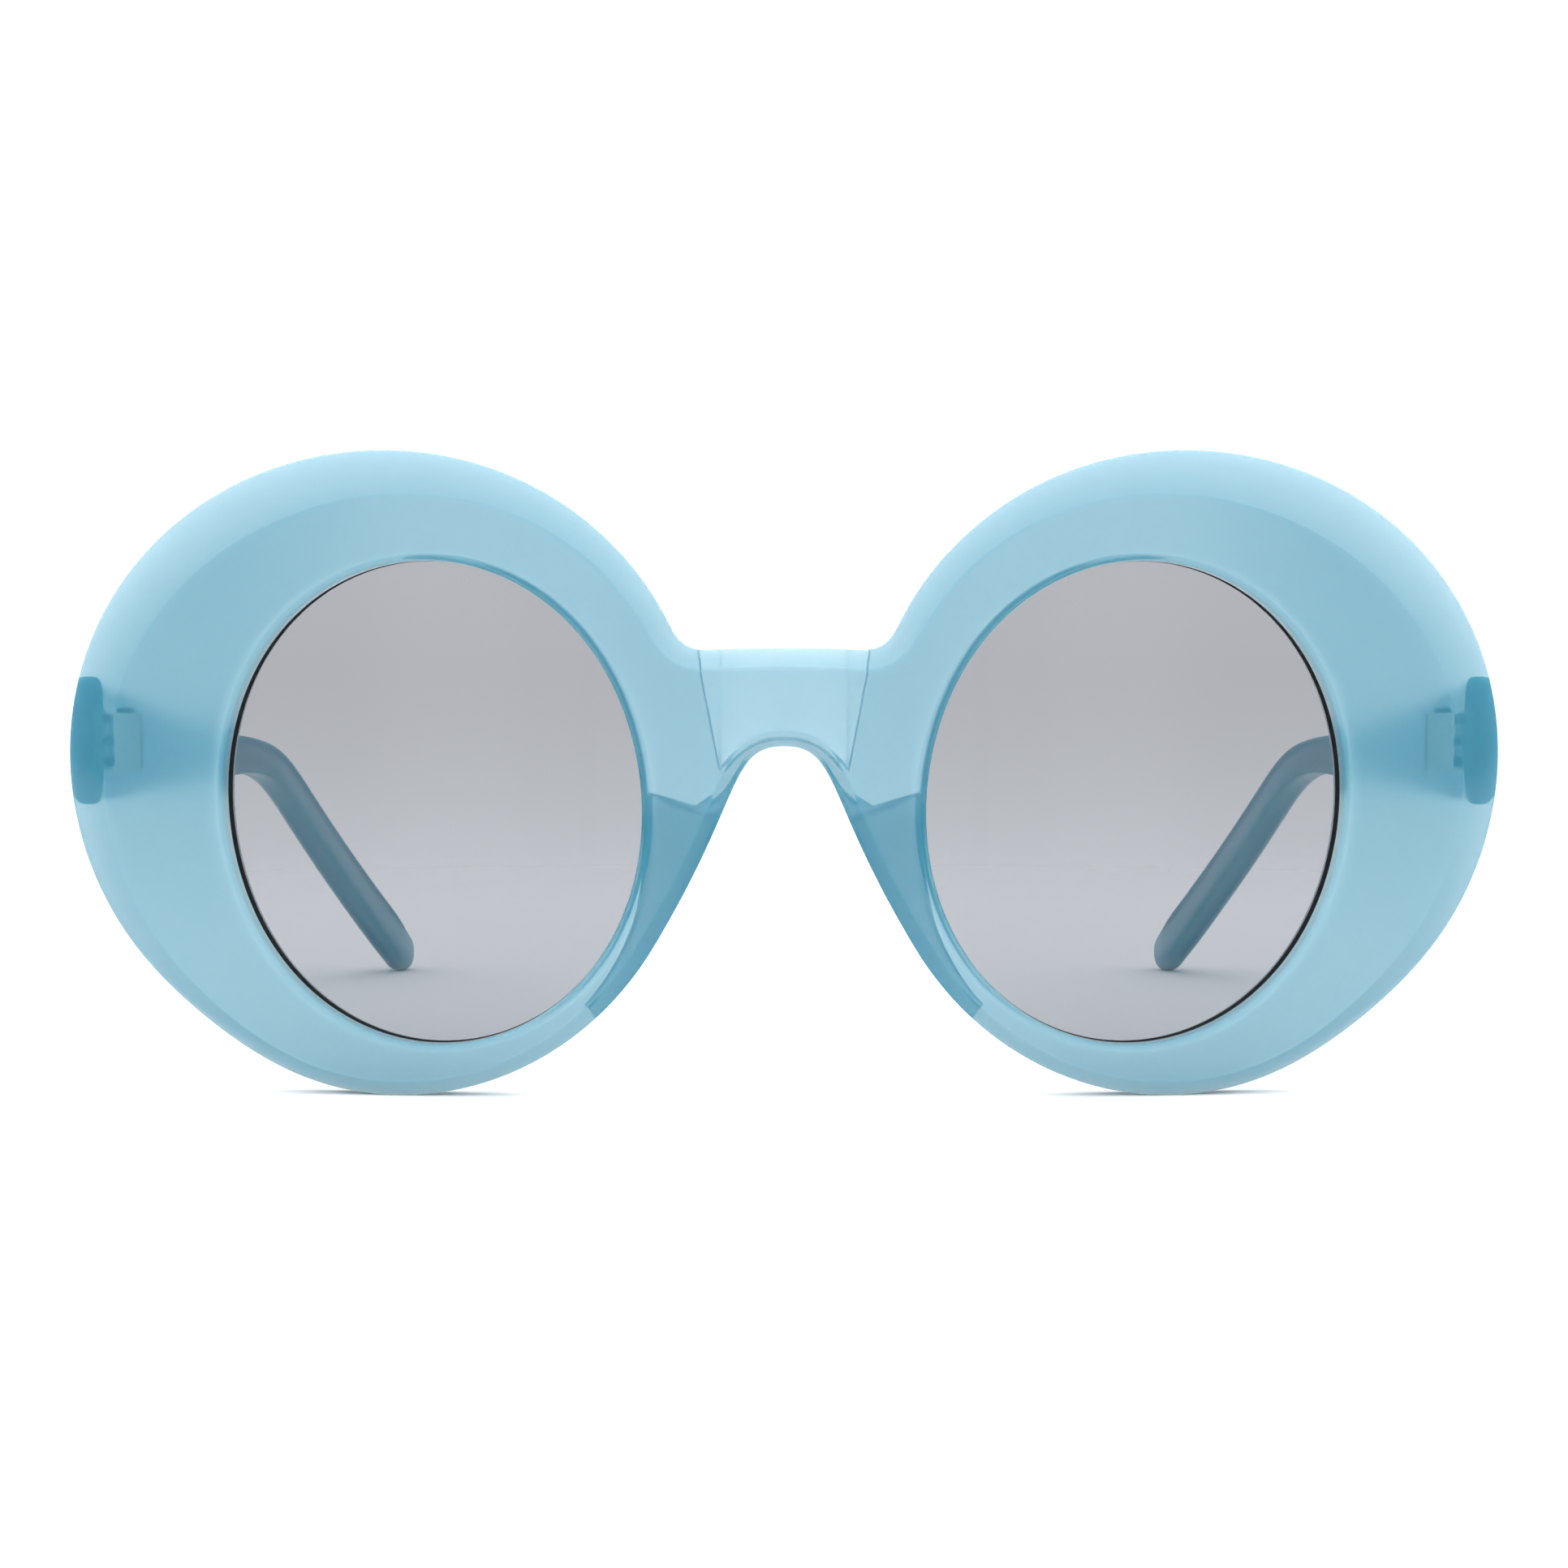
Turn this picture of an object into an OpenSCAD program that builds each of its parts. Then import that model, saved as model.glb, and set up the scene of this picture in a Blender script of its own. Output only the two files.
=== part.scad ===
// Oversized round sunglasses, standing on a table with both arms open.
// Millimetres, +Z up. The front faces -Y, and X = 0 is the plane of symmetry. Z = 0 is the table.
// Left and right are the wearer's, so the right side is at X < 0. Every side piece is drawn
// for the right side, and its left twin is the mirror image.

/* [Front] */
// Mean radius of a rim's outline
rim_r = 33.35; // [31:0.05:36]
// Distance between the two rims at the nose
rim_gap = 16.27; // [14:0.01:19]
// Share of the radius by which a rim is longer along its brow to nose diagonal
rim_skew_share = 0.011; // [0:0.001:0.03]
// Share of the radius by which a rim's three soft corners stand out
rim_corner_share = 0.0106; // [0:0.0002:0.03]
// Share of the radius by which a rim is flattened below the hinge
rim_flat_share = 0.019; // [0:0.001:0.03]
// Thickness of the front
front_t = 5; // [4.4:0.1:6]
// Radius of the face curve, seen from above
bend_r = 350; // [280:10:500]
// Radius that rounds the front's rear edges
back_round = 0.6; // [0.4:0.1:1.2]

/* [Bridge] */
// Height of the bridge's top edge above the middle of the rims
bridge_up = 12.5; // [11:0.1:15]
// Rise of the top edge towards the middle
bridge_bow = 0.2; // [0:0.05:1]
// Length of the top edge between its two fillets
bridge_flat = 16.4; // [15:0.1:18]
// Height of the nose arch above the middle of the rims
arch_up = 2.6; // [0:0.1:5]
// Depth of the scoop in the back of the bridge
scoop_deep = 1.8; // [1:0.1:2.4]
// Radius of the scoop's hollow floor, seen from above
scoop_r = 45; // [35:1:80]
// Width of the scoop at the bridge's top edge
scoop_w = 18.2; // [16:0.2:18.6]
// Width of the full-thickness rim that the scoop leaves over the nose arch
arch_rim_w = 1.3; // [1:0.1:2]
// Width of that rim on the nose flanks
flank_rim_w = 2.4; // [2.2:0.1:3.2]

/* [Front edge] */
// Width of the front's rounded edge at the brow
edge_w = 5.6; // [3.5:0.1:6.5]
// Width of that edge along the nose and the bridge
edge_w_nose = 1.5; // [1:0.1:2]
// Depth of that edge at the brow
edge_deep = 2.6; // [1.6:0.1:3]
// Depth of that edge along the nose and the bridge
edge_deep_nose = 1; // [0.6:0.1:1.4]
// How near that edge comes to a straight bevel, as a share, from 0 for a quarter of an ellipse
edge_bevel_share = 0.75; // [0:0.05:0.9]

/* [Lens opening] */
// Width of a rim between its opening and the temple
temple_wall = 16.6; // [12:0.1:19]
// Width of a rim between its opening and the nose
nose_wall = 6.6; // [5:0.1:9]
// Width of a rim above its opening
brow_wall = 11.65; // [9:0.05:15]
// Width of a rim below its opening
cheek_wall = 5.05; // [4.5:0.05:8]
// Angle by which the opening leans out at the top
opening_lean = 6.7; // [0:0.1:12]
// Radius that rounds the opening's front lip
lip_r = 0.8; // [0.4:0.1:1.2]
// Width of that lip beside the nose
lip_w_nose = 1.6; // [1.2:0.1:2]
// Radius that rounds the opening's rear lip
back_lip_r = 0.4; // [0.2:0.1:0.6]

/* [Lenses] */
// Thickness of a lens
lens_t = 1.8; // [1.4:0.1:2]
// Depth of the lens edge behind the front's face
lens_recess = 2.2; // [1.6:0.1:2.4]
// Depth of the groove that holds the lens
groove_deep = 0.8; // [0.5:0.1:1]
// How far the middle of a lens bulges forward of its edge
lens_bulge = 1.2; // [0.5:0.1:1.5]

/* [Nose pads] */
// How far a pad's top edge lies below the middle of the rims
pad_down = 4.9; // [3:0.1:6]
// Height of a pad
pad_h = 20.4; // [17:0.1:21]
// How far a pad stands out behind the front
pad_proud = 4.2; // [2:0.1:5]
// Angle by which a pad's top edge climbs from the nose to the lens, about the lens
pad_slant = 6; // [0:0.5:7]
// Thickness of the bond between a pad and the front
pad_bond = 0.05; // [0.03:0.01:0.1]
// Width of the horn by which a pad climbs the nose flank, where it leaves the pad
horn_w = 2.3; // [1.6:0.1:2.6]
// How far that horn stands out behind the front there
horn_proud = 2; // [1:0.1:2.4]

/* [Arms] */
// Height of an arm at its hinge end
arm_end_h = 13.3; // [11:0.1:15]
// Height of an arm at the end of its taper
arm_h = 4.3; // [3.8:0.1:5.2]
// Height of an arm at its tip
arm_tip_h = 5.6; // [4.8:0.1:6.4]
// Thickness of an arm
arm_t = 4; // [3.4:0.1:4.4]
// How far an arm's lower edge lies below the middle of the rims
arm_down = 3.9; // [2:0.1:6]
// Length of the arm's straight run behind the hinge
arm_run = 62; // [55:0.5:69]
// Length of the curve that leads down behind the ear
ear_l = 30; // [24:0.5:38]
// Angle by which the arm turns down at the ear
ear_bend = 30; // [25:0.5:34]
// Angle by which an arm leans in at its hinge
toe_in = 2.4; // [0:0.1:4]
// Radius of the arm's inward bow, seen from above
bow_r = 545; // [480:5:800]
// Gap between the arm's end and the front
end_gap = 0.3; // [0.2:0.05:0.5]

/* [Hinges] */
// Distance from a hinge's axis to the arm's inner face
pin_inset = 1.9; // [1.6:0.05:2.2]
// Outer diameter of the knuckles
knuckle_d = 2.1; // [1.9:0.05:2.3]
// Height of one knuckle
knuckle_h = 1.04; // [0.9:0.02:1.2]
// Gap between two neighbouring knuckles
knuckle_gap = 0.06; // [0.04:0.01:0.12]
// Diameter of the hinge screw's shank
screw_d = 1.2; // [1:0.05:1.3]
// Radial clearance of the shank in the knuckles that turn on it
screw_gap = 0.05; // [0.02:0.01:0.1]
// Diameter of the screw's head
head_d = 1.8; // [1.6:0.05:2]
// Height of the screw's head
head_h = 0.9; // [0.6:0.05:1.1]
// Thickness of the hinge plates
plate_t = 1.1; // [0.9:0.05:1.3]
// How far the arm's plate stands proud of the arm
plate_proud = 0.45; // [0.3:0.05:0.6]
// Length of the arm's plate
plate_l = 7; // [6:0.1:9]

/* [Hidden] */

// Colours
PLASTIC = [0.55, 0.76, 0.83];
PAD = [0.44, 0.67, 0.75];
SMOKE = [0.66, 0.67, 0.7, 0.6];
STEEL = [0.66, 0.67, 0.69];

// How finely the outlines are drawn, in steps
bridge_steps = 5;
fillet_steps = 6;
rim_steps = 60;
arch_steps = 16;
edge_steps = 5;
back_steps = 2;
seam_steps = 3;

// Where the points across the face and across the rear lie, as shares of the way
face_shares = [0, 0.5, 1];
rear_shares = [0, 0.25, 0.5, 0.75, 1];

// Directions of a rim's long diagonal, of its first soft corner and of its flatter stretch,
// about the rim's centre, and the spread of that stretch
rim_skew_at = -50;
rim_corner_at = 41;
rim_flat_at = 234;
rim_flat_span = 20;
// Where the rim's own curve starts below the bridge's fillet and ends beside the nose
rim_from = 27;
rim_to = 327;
// Where the broad rounded edge is at its widest, and how fast it gets narrower and shallower from there
brow_at = 130;
edge_power = 2;
edge_deep_power = 0.7;
// Where the opening's front lip is at its widest, and how fast it narrows from there
lip_at = 5;
lip_power = 5;
// Bezier handles of the fillet, as a share of its chord, and of the nose flank and the arch,
// as shares of the arch's height above the flank's start
fillet_handle_share = 0.42;
flank_handle_share = 0.87;
arch_handle_share = 0.275;

function rim_radius(a) = rim_r * (1 + rim_skew_share * cos(2 * (a - rim_skew_at))
                                    + rim_corner_share * cos(3 * (a - rim_corner_at))
                                    - rim_flat_share * exp(-pow((a - rim_flat_at) / rim_flat_span, 2)));

// Middle of the right rim, whose outline stands on the table, and the width across both rims
rim_x = -rim_gap / 2 - rim_r;
rim_z = max([for (a = [180:1:360]) -rim_radius(a) * sin(a)]);
front_w = 2 * (max([for (a = [90:1:270]) -rim_radius(a) * cos(a)]) - rim_x);

function rim_point(a) = [rim_x + rim_radius(a) * cos(a), rim_z + rim_radius(a) * sin(a)];

function unit(v) = v / norm(v);

function bezier(a, b, c, d, t) =
    pow(1 - t, 3) * a + 3 * t * pow(1 - t, 2) * b + 3 * t * t * (1 - t) * c + pow(t, 3) * d;

// Direction of the rim's outline at an angle, counterclockwise seen from the front
function rim_heading(a) = unit(rim_point(a + 1) - rim_point(a - 1));

// The right half's outline, from the middle of the bridge's top edge round to the nose arch
bridge_top = rim_z + bridge_up;
arch_top = rim_z + arch_up;
fillet_end = [-bridge_flat / 2, bridge_top];
fillet_handle = fillet_handle_share * norm(rim_point(rim_from) - fillet_end);
flank_rise = arch_top - rim_point(rim_to)[1];
function arch_curve(t) =
    bezier(rim_point(rim_to), rim_point(rim_to) + flank_handle_share * flank_rise * rim_heading(rim_to),
           [-arch_handle_share * flank_rise, arch_top], [0, arch_top], t);
outline = concat(
    [for (i = [0:bridge_steps - 1]) let (s = i / bridge_steps)
        [-s * bridge_flat / 2, bridge_top + bridge_bow * (1 - s * s)]],
    [for (i = [0:fillet_steps - 1])
        bezier(fillet_end, fillet_end - [fillet_handle, 0],
               rim_point(rim_from) - fillet_handle * rim_heading(rim_from),
               rim_point(rim_from), i / fillet_steps)],
    [for (i = [0:rim_steps - 1]) rim_point(rim_from + (rim_to - rim_from) * i / rim_steps)],
    [for (i = [0:arch_steps]) arch_curve(i / arch_steps)]);
last = len(outline) - 1;

// Direction into the plastic at each point of the outline
inward = [for (k = [0:last])
    k == 0 ? [0, -1] : k == last ? [0, 1] :
    let (d = unit(outline[k + 1] - outline[k - 1])) [-d[1], d[0]]];

// Width and depth of the rounded edge at each point of the outline, broad at the brow and slim at the nose
function near_brow(k) =
    let (p = outline[k] - [rim_x, rim_z]) (1 + cos(atan2(p[1], p[0]) - brow_at)) / 2;
function edge_width(k) = edge_w_nose + (edge_w - edge_w_nose) * pow(near_brow(k), edge_power);
function edge_depth(k) =
    edge_deep_nose + (edge_deep - edge_deep_nose) * pow(near_brow(k), edge_deep_power);

function edge_point(k, inset) = outline[k] + inset * inward[k];

// The lens opening, as a radius about its centre
opening_w = 2 * rim_r - temple_wall - nose_wall;
opening_h = 2 * rim_r - brow_wall - cheek_wall;
opening_c = [rim_x + (temple_wall - nose_wall) / 2, rim_z + (cheek_wall - brow_wall) / 2];
opening_mean_r = (opening_w + opening_h) / 4;
opening_stretch = (opening_h - opening_w) / (opening_h + opening_w);
function opening_radius(a) =
    opening_mean_r * (1 + opening_stretch * cos(2 * (a - 90 - opening_lean)));
function opening_point(a, out) =
    opening_c + (opening_radius(a) + out) * [cos(a), sin(a)];
function opening_angle(p) = atan2(p[1] - opening_c[1], p[0] - opening_c[0]);
function lip_width(a) = lip_r + (lip_w_nose - lip_r) * pow((1 + cos(a - lip_at)) / 2, lip_power);

// Depth of the curved face at x, and of the front's rear face, which has the same axis
function sag(x) = bend_r - sqrt(bend_r * bend_r - x * x);
function rear(x) = bend_r - sqrt(pow(bend_r - front_t, 2) - x * x);

function on_face(p, deep) = [p[0], sag(p[0]) + deep, p[1]];
function on_rear(p, out) = [p[0], rear(p[0]) + out, p[1]];
// A point of the lens opening, whose walls stand square to the bent face
function squared(p, deep) = [p[0] * (1 - deep / bend_r), p[1]];
function on_wall(p, deep) =
    let (q = squared(p, deep)) [q[0], sag(p[0]) + deep * sqrt(1 - pow(p[0] / bend_r, 2)), q[1]];

// Stations round the lens opening: the outline's points, then a few up the seam at X = 0
stations = last + seam_steps;
function seam_point(s, low, high) = low + (high - low) * (s - last) / seam_steps;
function face_edge(s) = s <= last ? edge_point(s, edge_width(s)) :
    seam_point(s, edge_point(last, edge_width(last)), edge_point(0, edge_width(0)));
function rear_edge(s) = s <= last ? edge_point(s, back_round) :
    seam_point(s, edge_point(last, back_round), edge_point(0, back_round));
// Near the top of the nose arch the stations fan out upwards, so that none crosses its neighbour
apex_turn = 6;
apex_steps = 4;
station_angle = [for (s = [0:stations - 1])
    opening_angle(face_edge(s)) + apex_turn * max(1 - abs(s - last) / apex_steps, 0)];

// Points across the front at one station, from its face through the opening to its rear
function ring(s) =
    let (a = station_angle[s], face = face_edge(s), back = rear_edge(s),
         lip_w = lip_width(a), lip = opening_point(a, lip_w),
         back_lip = squared(opening_point(a, back_lip_r), front_t),
         wall = opening_point(a, 0), groove = opening_point(a, groove_deep))
    [for (f = face_shares) on_face(face + f * (lip - face), 0),
     on_wall(opening_point(a, lip_w * (1 - sin(45))), lip_r * (1 - cos(45))),
     on_wall(wall, lip_r),
     on_wall(wall, lens_recess),
     on_wall(groove, lens_recess + lens_t / 2),
     on_wall(wall, lens_recess + lens_t),
     on_wall(wall, front_t - back_lip_r),
     for (f = rear_shares) on_rear(back_lip + f * (back - back_lip), 0)];
ring_n = len(ring(0));

// The rounded edges at one point of the outline, from the side wall inwards
function front_edge(k) = [for (j = [0:edge_steps - 1])
    let (a = 90 * j / edge_steps, power = 1 + edge_bevel_share)
    on_face(edge_point(k, edge_width(k) * (1 - pow(cos(a), power))),
            edge_depth(k) * (1 - pow(sin(a), power)))];
function back_edge(k) = [for (j = [back_steps - 1:-1:0])
    let (a = 90 * j / back_steps)
    on_rear(edge_point(k, back_round * (1 - cos(a))), -back_round * (1 - sin(a)))];

// All points of the right half, one row for each station
full_n = edge_steps + ring_n + back_steps;
half_points = [for (s = [0:stations - 1])
    each s <= last ? concat(front_edge(s), ring(s), back_edge(s)) : ring(s)];
half_n = len(half_points);

function row(s) = s <= last ? s * full_n : (last + 1) * full_n + (s - last - 1) * ring_n;
function ring_row(s) = row(s) + (s <= last ? edge_steps : 0);
function quad(a, b, c, d) = [[a, b, c], [a, c, d]];

half_faces = concat(
    [for (s = [0:stations - 1]) let (p = ring_row(s), q = ring_row((s + 1) % stations))
        for (j = [0:ring_n - 2]) each quad(p + j, p + j + 1, q + j + 1, q + j)],
    [for (k = [0:last - 1]) let (p = row(k), q = row(k + 1))
        for (j = [0:edge_steps - 1]) each quad(p + j, p + j + 1, q + j + 1, q + j)],
    [for (k = [0:last - 1]) let (p = row(k), q = row(k + 1))
        for (j = [edge_steps + ring_n - 1:full_n - 1])
            each quad(p + j, p + (j + 1) % full_n, q + (j + 1) % full_n, q + j)]);

// The mirrored half shares the seam's points
function twin(i) = half_points[i][0] == 0 ? i : i + half_n;

module front_blank() {
    polyhedron(
        concat(half_points, [for (p = half_points) [-p[0], p[1], p[2]]]),
        concat(half_faces, [for (f = half_faces) [twin(f[2]), twin(f[1]), twin(f[0])]]));
}

// How far a cut runs on past what it cuts, and how round the bores and the scoop's floor are
overrun = 1;
round_n = 48;
floor_n = 240;
// Where the points of the rim over the nose arch lie, as shares of the way up the flank and the arch,
// and how far on either side the arch's direction is taken
scoop_shares = [0.56, 0.61, 0.66, 0.72, 0.78, 0.84, 0.91, 0.97];
heading_share = 0.01;

// Scoop: a pocket in the back of the bridge that leaves a rim of full thickness over the nose arch
function arch_rim_point(t) =
    let (p = arch_curve(t), d = unit(arch_curve(t + heading_share) - arch_curve(t - heading_share)),
         down = (arch_top - p[1]) / (arch_up + flank_rim_w))
    p + (arch_rim_w + (flank_rim_w - arch_rim_w) * min(down, 1)) * [-d[1], d[0]];
// Its outline from the bridge's top edge down the left side and along that rim to the middle
scoop_half = concat(
    [[-scoop_w / 2, bridge_top + bridge_bow + overrun], [-scoop_w / 2, bridge_top]],
    [for (t = scoop_shares) arch_rim_point(t)]);
scoop_n = len(scoop_half);
module scoop() {
    deep = front_t + overrun;
    intersection() {
        translate([0, deep, 0]) rotate([90, 0, 0]) linear_extrude(deep)
            polygon(concat(scoop_half, [for (i = [scoop_n - 1:-1:0]) [-scoop_half[i][0], scoop_half[i][1]]]));
        translate([0, front_t - scoop_deep + scoop_r, 0]) cylinder(r = scoop_r, h = front_w, $fn = floor_n);
    }
}

// Hinge: the axis stands behind the front and inside the arm
arm_inner = front_w / 2 - arm_t;
pin_x = arm_inner - pin_inset;
pin_clear = knuckle_gap + end_gap;
face_angle = asin(pin_x / bend_r);
pin_stand = knuckle_d / 2 + pin_clear;
pin_y = rear(pin_x) + pin_stand / cos(face_angle);
knuckles = 5;
knuckle_pitch = knuckle_h + knuckle_gap;
stack_h = knuckles * knuckle_h + (knuckles - 1) * knuckle_gap;
arm_low = rim_z - arm_down;
stack_low = arm_low + (arm_end_h - stack_h) / 2;

// Arm: the path of its lower edge, then its taper and its bow
arm_start = rear(arm_inner) + end_gap;
end_lean = tan(asin((arm_inner + arm_t / 2) / bend_r));
tip_r = arm_tip_h / 2;
arm_steps = 10;
ear_steps = 14;
tail_steps = 5;
tip_steps = 4;
section_steps = 16;
sum_steps = 20;
// How far round its end the tip is drawn before it is closed
tip_sweep = 84;
// Power that shapes the arm's taper
taper_power = 1.4;
// Powers of the section's inner and outer halves, flat inside and crowned outside, and of the tip
inner_power = 0.38;
outer_power = 0.78;
tip_power = 0.85;

// The arm turns down slowly at first, then tightly, then slowly again
function ease(t) = t * t * (3 - 2 * t);
function arm_turn(u) = ear_bend * ease(min(max((u - arm_run) / ear_l, 0), 1));
// How far back and down the lower edge has come after a length u of the ear curve
function ear_reach(u) =
    let (w = u / sum_steps)
    w * ([for (i = [1:sum_steps]) 1] * [for (i = [1:sum_steps])
        let (b = arm_turn(arm_run + (i - 1 / 2) * w)) [cos(b), -sin(b)]]);
tail_l = (arm_low + ear_reach(ear_l)[1] + tip_r * cos(ear_bend) - tip_r) / sin(ear_bend);
arm_full = arm_run + ear_l + tail_l;

// Distance along the arm of each of its sections
arm_at = concat(
    [for (i = [0:arm_steps - 1]) arm_run * i / arm_steps],
    [for (i = [0:ear_steps - 1]) arm_run + ear_l * i / ear_steps],
    [for (i = [0:tail_steps - 1]) arm_run + ear_l + tail_l * i / tail_steps],
    [for (i = [0:tip_steps]) arm_full + tip_r * sin(tip_sweep * i / tip_steps)]);

function arm_path(u) =
    let (tail = max(u - arm_run - ear_l, 0))
    [arm_start + min(u, arm_run), arm_low] + ear_reach(min(max(u - arm_run, 0), ear_l))
    + tail * [cos(ear_bend), -sin(ear_bend)];
function arm_height(u) =
    let (taper = arm_run + ear_l / 3)
    u < taper ? arm_h + (arm_end_h - arm_h) * pow(1 - u / taper, taper_power) :
    arm_h + (arm_tip_h - arm_h) * min((u - taper) / (arm_full - taper), 1);
function arm_in(y) = let (d = y - arm_start) d * tan(toe_in) + d * d / (2 * bow_r);
// How small the end is drawn past the arm's full section, and how far the section has turned round
function tip_scale(u) = u <= arm_full ? 1 : sqrt(1 - pow((u - arm_full) / tip_r, 2));
function tip_round(u) = min(max(1 + (u - arm_full) / arm_tip_h, 0), 1);
function bulge(v, power) = sign(v) * pow(abs(v), power);

// A section of the arm at distance u
function arm_section(u) =
    let (b = arm_turn(u), h = arm_height(u), at = arm_path(u) + h / 2 * [sin(b), cos(b)],
         grow = tip_scale(u))
    [for (i = [0:section_steps - 1])
        let (a = 360 * i / section_steps, side = cos(a) > 0 ? inner_power : outer_power,
             power = side + (tip_power - side) * tip_round(u),
             across = arm_t / 2 * bulge(cos(a), power) * grow,
             up = h / 2 * bulge(sin(a), power) * grow,
             y = at[0] + up * sin(b),
             lean = end_lean * (arm_t / 2 - across) * max(1 - u / arm_end_h, 0))
        [across - arm_inner - arm_t / 2 + arm_in(at[0]), y + lean, at[1] + up * cos(b)]];

module loft(sections) {
    n = len(sections[0]);
    m = len(sections);
    polyhedron(
        [for (s = sections) each s],
        concat([[for (i = [n - 1:-1:0]) i]],
               [for (j = [0:m - 2]) for (i = [0:n - 1]) let (k = (i + 1) % n)
                   each quad(j * n + i, j * n + k, (j + 1) * n + k, (j + 1) * n + i)],
               [[for (i = [0:n - 1]) (m - 1) * n + i]]));
}

// Overall depth, from the face of the bridge to the tips of the arms
tip_y = arm_path(arm_full)[0] + tip_r * sin(ear_bend) + tip_r;

// Puts what is drawn from the bridge's face backwards on the part's own centre
module centred() {
    translate([0, -tip_y / 2, 0]) children();
}

module left_side() {
    mirror([1, 0, 0]) children();
}

// Layer k of the knuckle stack, counted from the bottom
module layer(k) {
    translate([0, 0, stack_low + k * knuckle_pitch]) children();
}

// Moves what is drawn about the hinge's axis to its place, square to the front's rear face
module at_pin() {
    translate([-pin_x, pin_y, 0]) rotate([0, 0, -face_angle]) children();
}

// Front leaf: the plate lies flush in the front's rear face, with a foot behind it
leaf_w_share = 1.35;
leaf_w = leaf_w_share * knuckle_d;
leaf_from = -knuckle_d / 4;
plate_margin = 0.25;
plate_h = stack_h + 2 * plate_margin;
foot_share = 0.6;
foot_w = leaf_w / 2;
foot_h = foot_share * plate_h;
foot_deep = plate_t;

module front_leaf_anchor(top) {
    translate([leaf_from, -pin_stand - plate_t, stack_low - plate_margin])
        cube([leaf_w, plate_t + top, plate_h]);
    translate([leaf_from + (leaf_w - foot_w) / 2, -pin_stand - plate_t - foot_deep,
               stack_low + (stack_h - foot_h) / 2])
        cube([foot_w, foot_deep + plate_t / 2, foot_h]);
}

module knuckle(bore_d) {
    difference() {
        union() {
            cylinder(d = knuckle_d, h = knuckle_h, $fn = round_n);
            children();
        }
        translate([0, 0, -overrun]) cylinder(d = bore_d, h = knuckle_h + 2 * overrun, $fn = round_n);
    }
}

module front_leaf() {
    at_pin() {
        front_leaf_anchor(0);
        for (k = [1, 3]) layer(k) knuckle(screw_d + 2 * screw_gap)
            translate([leaf_from, -pin_stand, 0])
                cube([knuckle_d / 2 - leaf_from, pin_stand, knuckle_h]);
    }
}

// Arm leaf: its plate lies in the arm's inner face and starts a margin behind the arm's end
plate_from = arm_start + plate_margin;

module temple_leaf_plate() {
    translate([-arm_inner + plate_proud - plate_t, plate_from, stack_low - plate_margin])
        cube([plate_t, plate_l, plate_h]);
}

module temple_leaf() {
    temple_leaf_plate();
    for (k = [0, 2, 4]) translate([-pin_x, pin_y, 0]) layer(k)
        knuckle(k == 0 ? screw_d : screw_d + 2 * screw_gap)
            translate([-pin_inset, plate_from - pin_y, 0])
                cube([pin_inset, knuckle_d / 2 + pin_y - plate_from, knuckle_h]);
}

module screw() {
    translate([-pin_x, pin_y, stack_low]) difference() {
        union() {
            cylinder(d = screw_d, h = stack_h + head_h / 2, $fn = round_n);
            translate([0, 0, stack_h]) cylinder(d = head_d, h = head_h, $fn = round_n);
        }
        translate([-head_d, -slot_w / 2, stack_h + head_h - slot_deep])
            cube([2 * head_d, slot_w, slot_deep + overrun]);
    }
}
slot_w = head_d / 5;
slot_deep = head_h / 3;

// Lens, on the same stations as the groove that holds it: its bevel's edge lies in the groove, and
// on both sides rings shrink from there to its middle
lens_shares = [1, 0.72, 0.4];
lens_rings = len(lens_shares);
lens_n = lens_rings * stations + 1;
function lens_side(deep) = concat(
    [for (f = lens_shares) for (a = station_angle)
        let (p = opening_c + f * (opening_point(a, 0) - opening_c))
        on_wall(p, deep - lens_bulge * (1 - f * f))],
    [on_wall(opening_c, deep - lens_bulge)]);
function lens_row(from, j) = j == 0 ? 0 : from + (j - 1) * stations;

// Faces of one side, split along the same diagonals as the groove
function lens_sheet(from, behind) =
    [for (i = [0:stations - 1])
        let (k = (i + 1) % stations, rim = lens_row(from, lens_rings), top = from + lens_n - 1)
        each concat(
            [for (j = [0:lens_rings - 1])
                let (p = lens_row(from, j), q = lens_row(from, j + 1))
                each behind ? quad(p + i, p + k, q + k, q + i) : quad(q + i, q + k, p + k, p + i)],
            [behind ? [rim + k, top, rim + i] : [rim + i, top, rim + k]])];

module lens() {
    polyhedron(
        concat([for (a = station_angle) on_wall(opening_point(a, groove_deep), lens_recess + lens_t / 2)],
               lens_side(lens_recess), lens_side(lens_recess + lens_t)),
        concat(lens_sheet(stations, false), lens_sheet(stations + lens_n, true)));
}

// Nose pad: sections across the nose flank, from its blunt top down to its thin tip
pad_rings = 14;
pad_steps = 8;
// Height of a pad's blunt top edge and length of its rise from there, as shares of the full ones
pad_blunt_share = 0.45;
pad_rise_share = 0.2;
// Shares of its width and of its height that a pad has lost at its tip
pad_narrow_share = 0.6;
pad_thin_share = 0.85;
// Powers of its thinning and of its crown
pad_thin_power = 1.5;
pad_crown_power = 0.8;
// Its horn climbs by this share of the way to the arch, in so many rings, keeps these shares of its
// width and of its height at the end, and narrows towards it by this power
horn_share = 0.75;
horn_rings = 7;
horn_narrow_share = 0.25;
horn_thin_share = 0.2;
horn_power = 3;

// The front's rear edge beside the nose, by its height
nose_from = last - arch_steps - rim_steps / 4;
nose_edge = [for (k = [nose_from:last]) let (p = edge_point(k, back_round)) [p[1], p[0]]];

pad_top = rim_z - pad_down;
horn_low = pad_top + back_round / 2;
horn_h = horn_share * (arch_top + back_round - horn_low);

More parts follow.
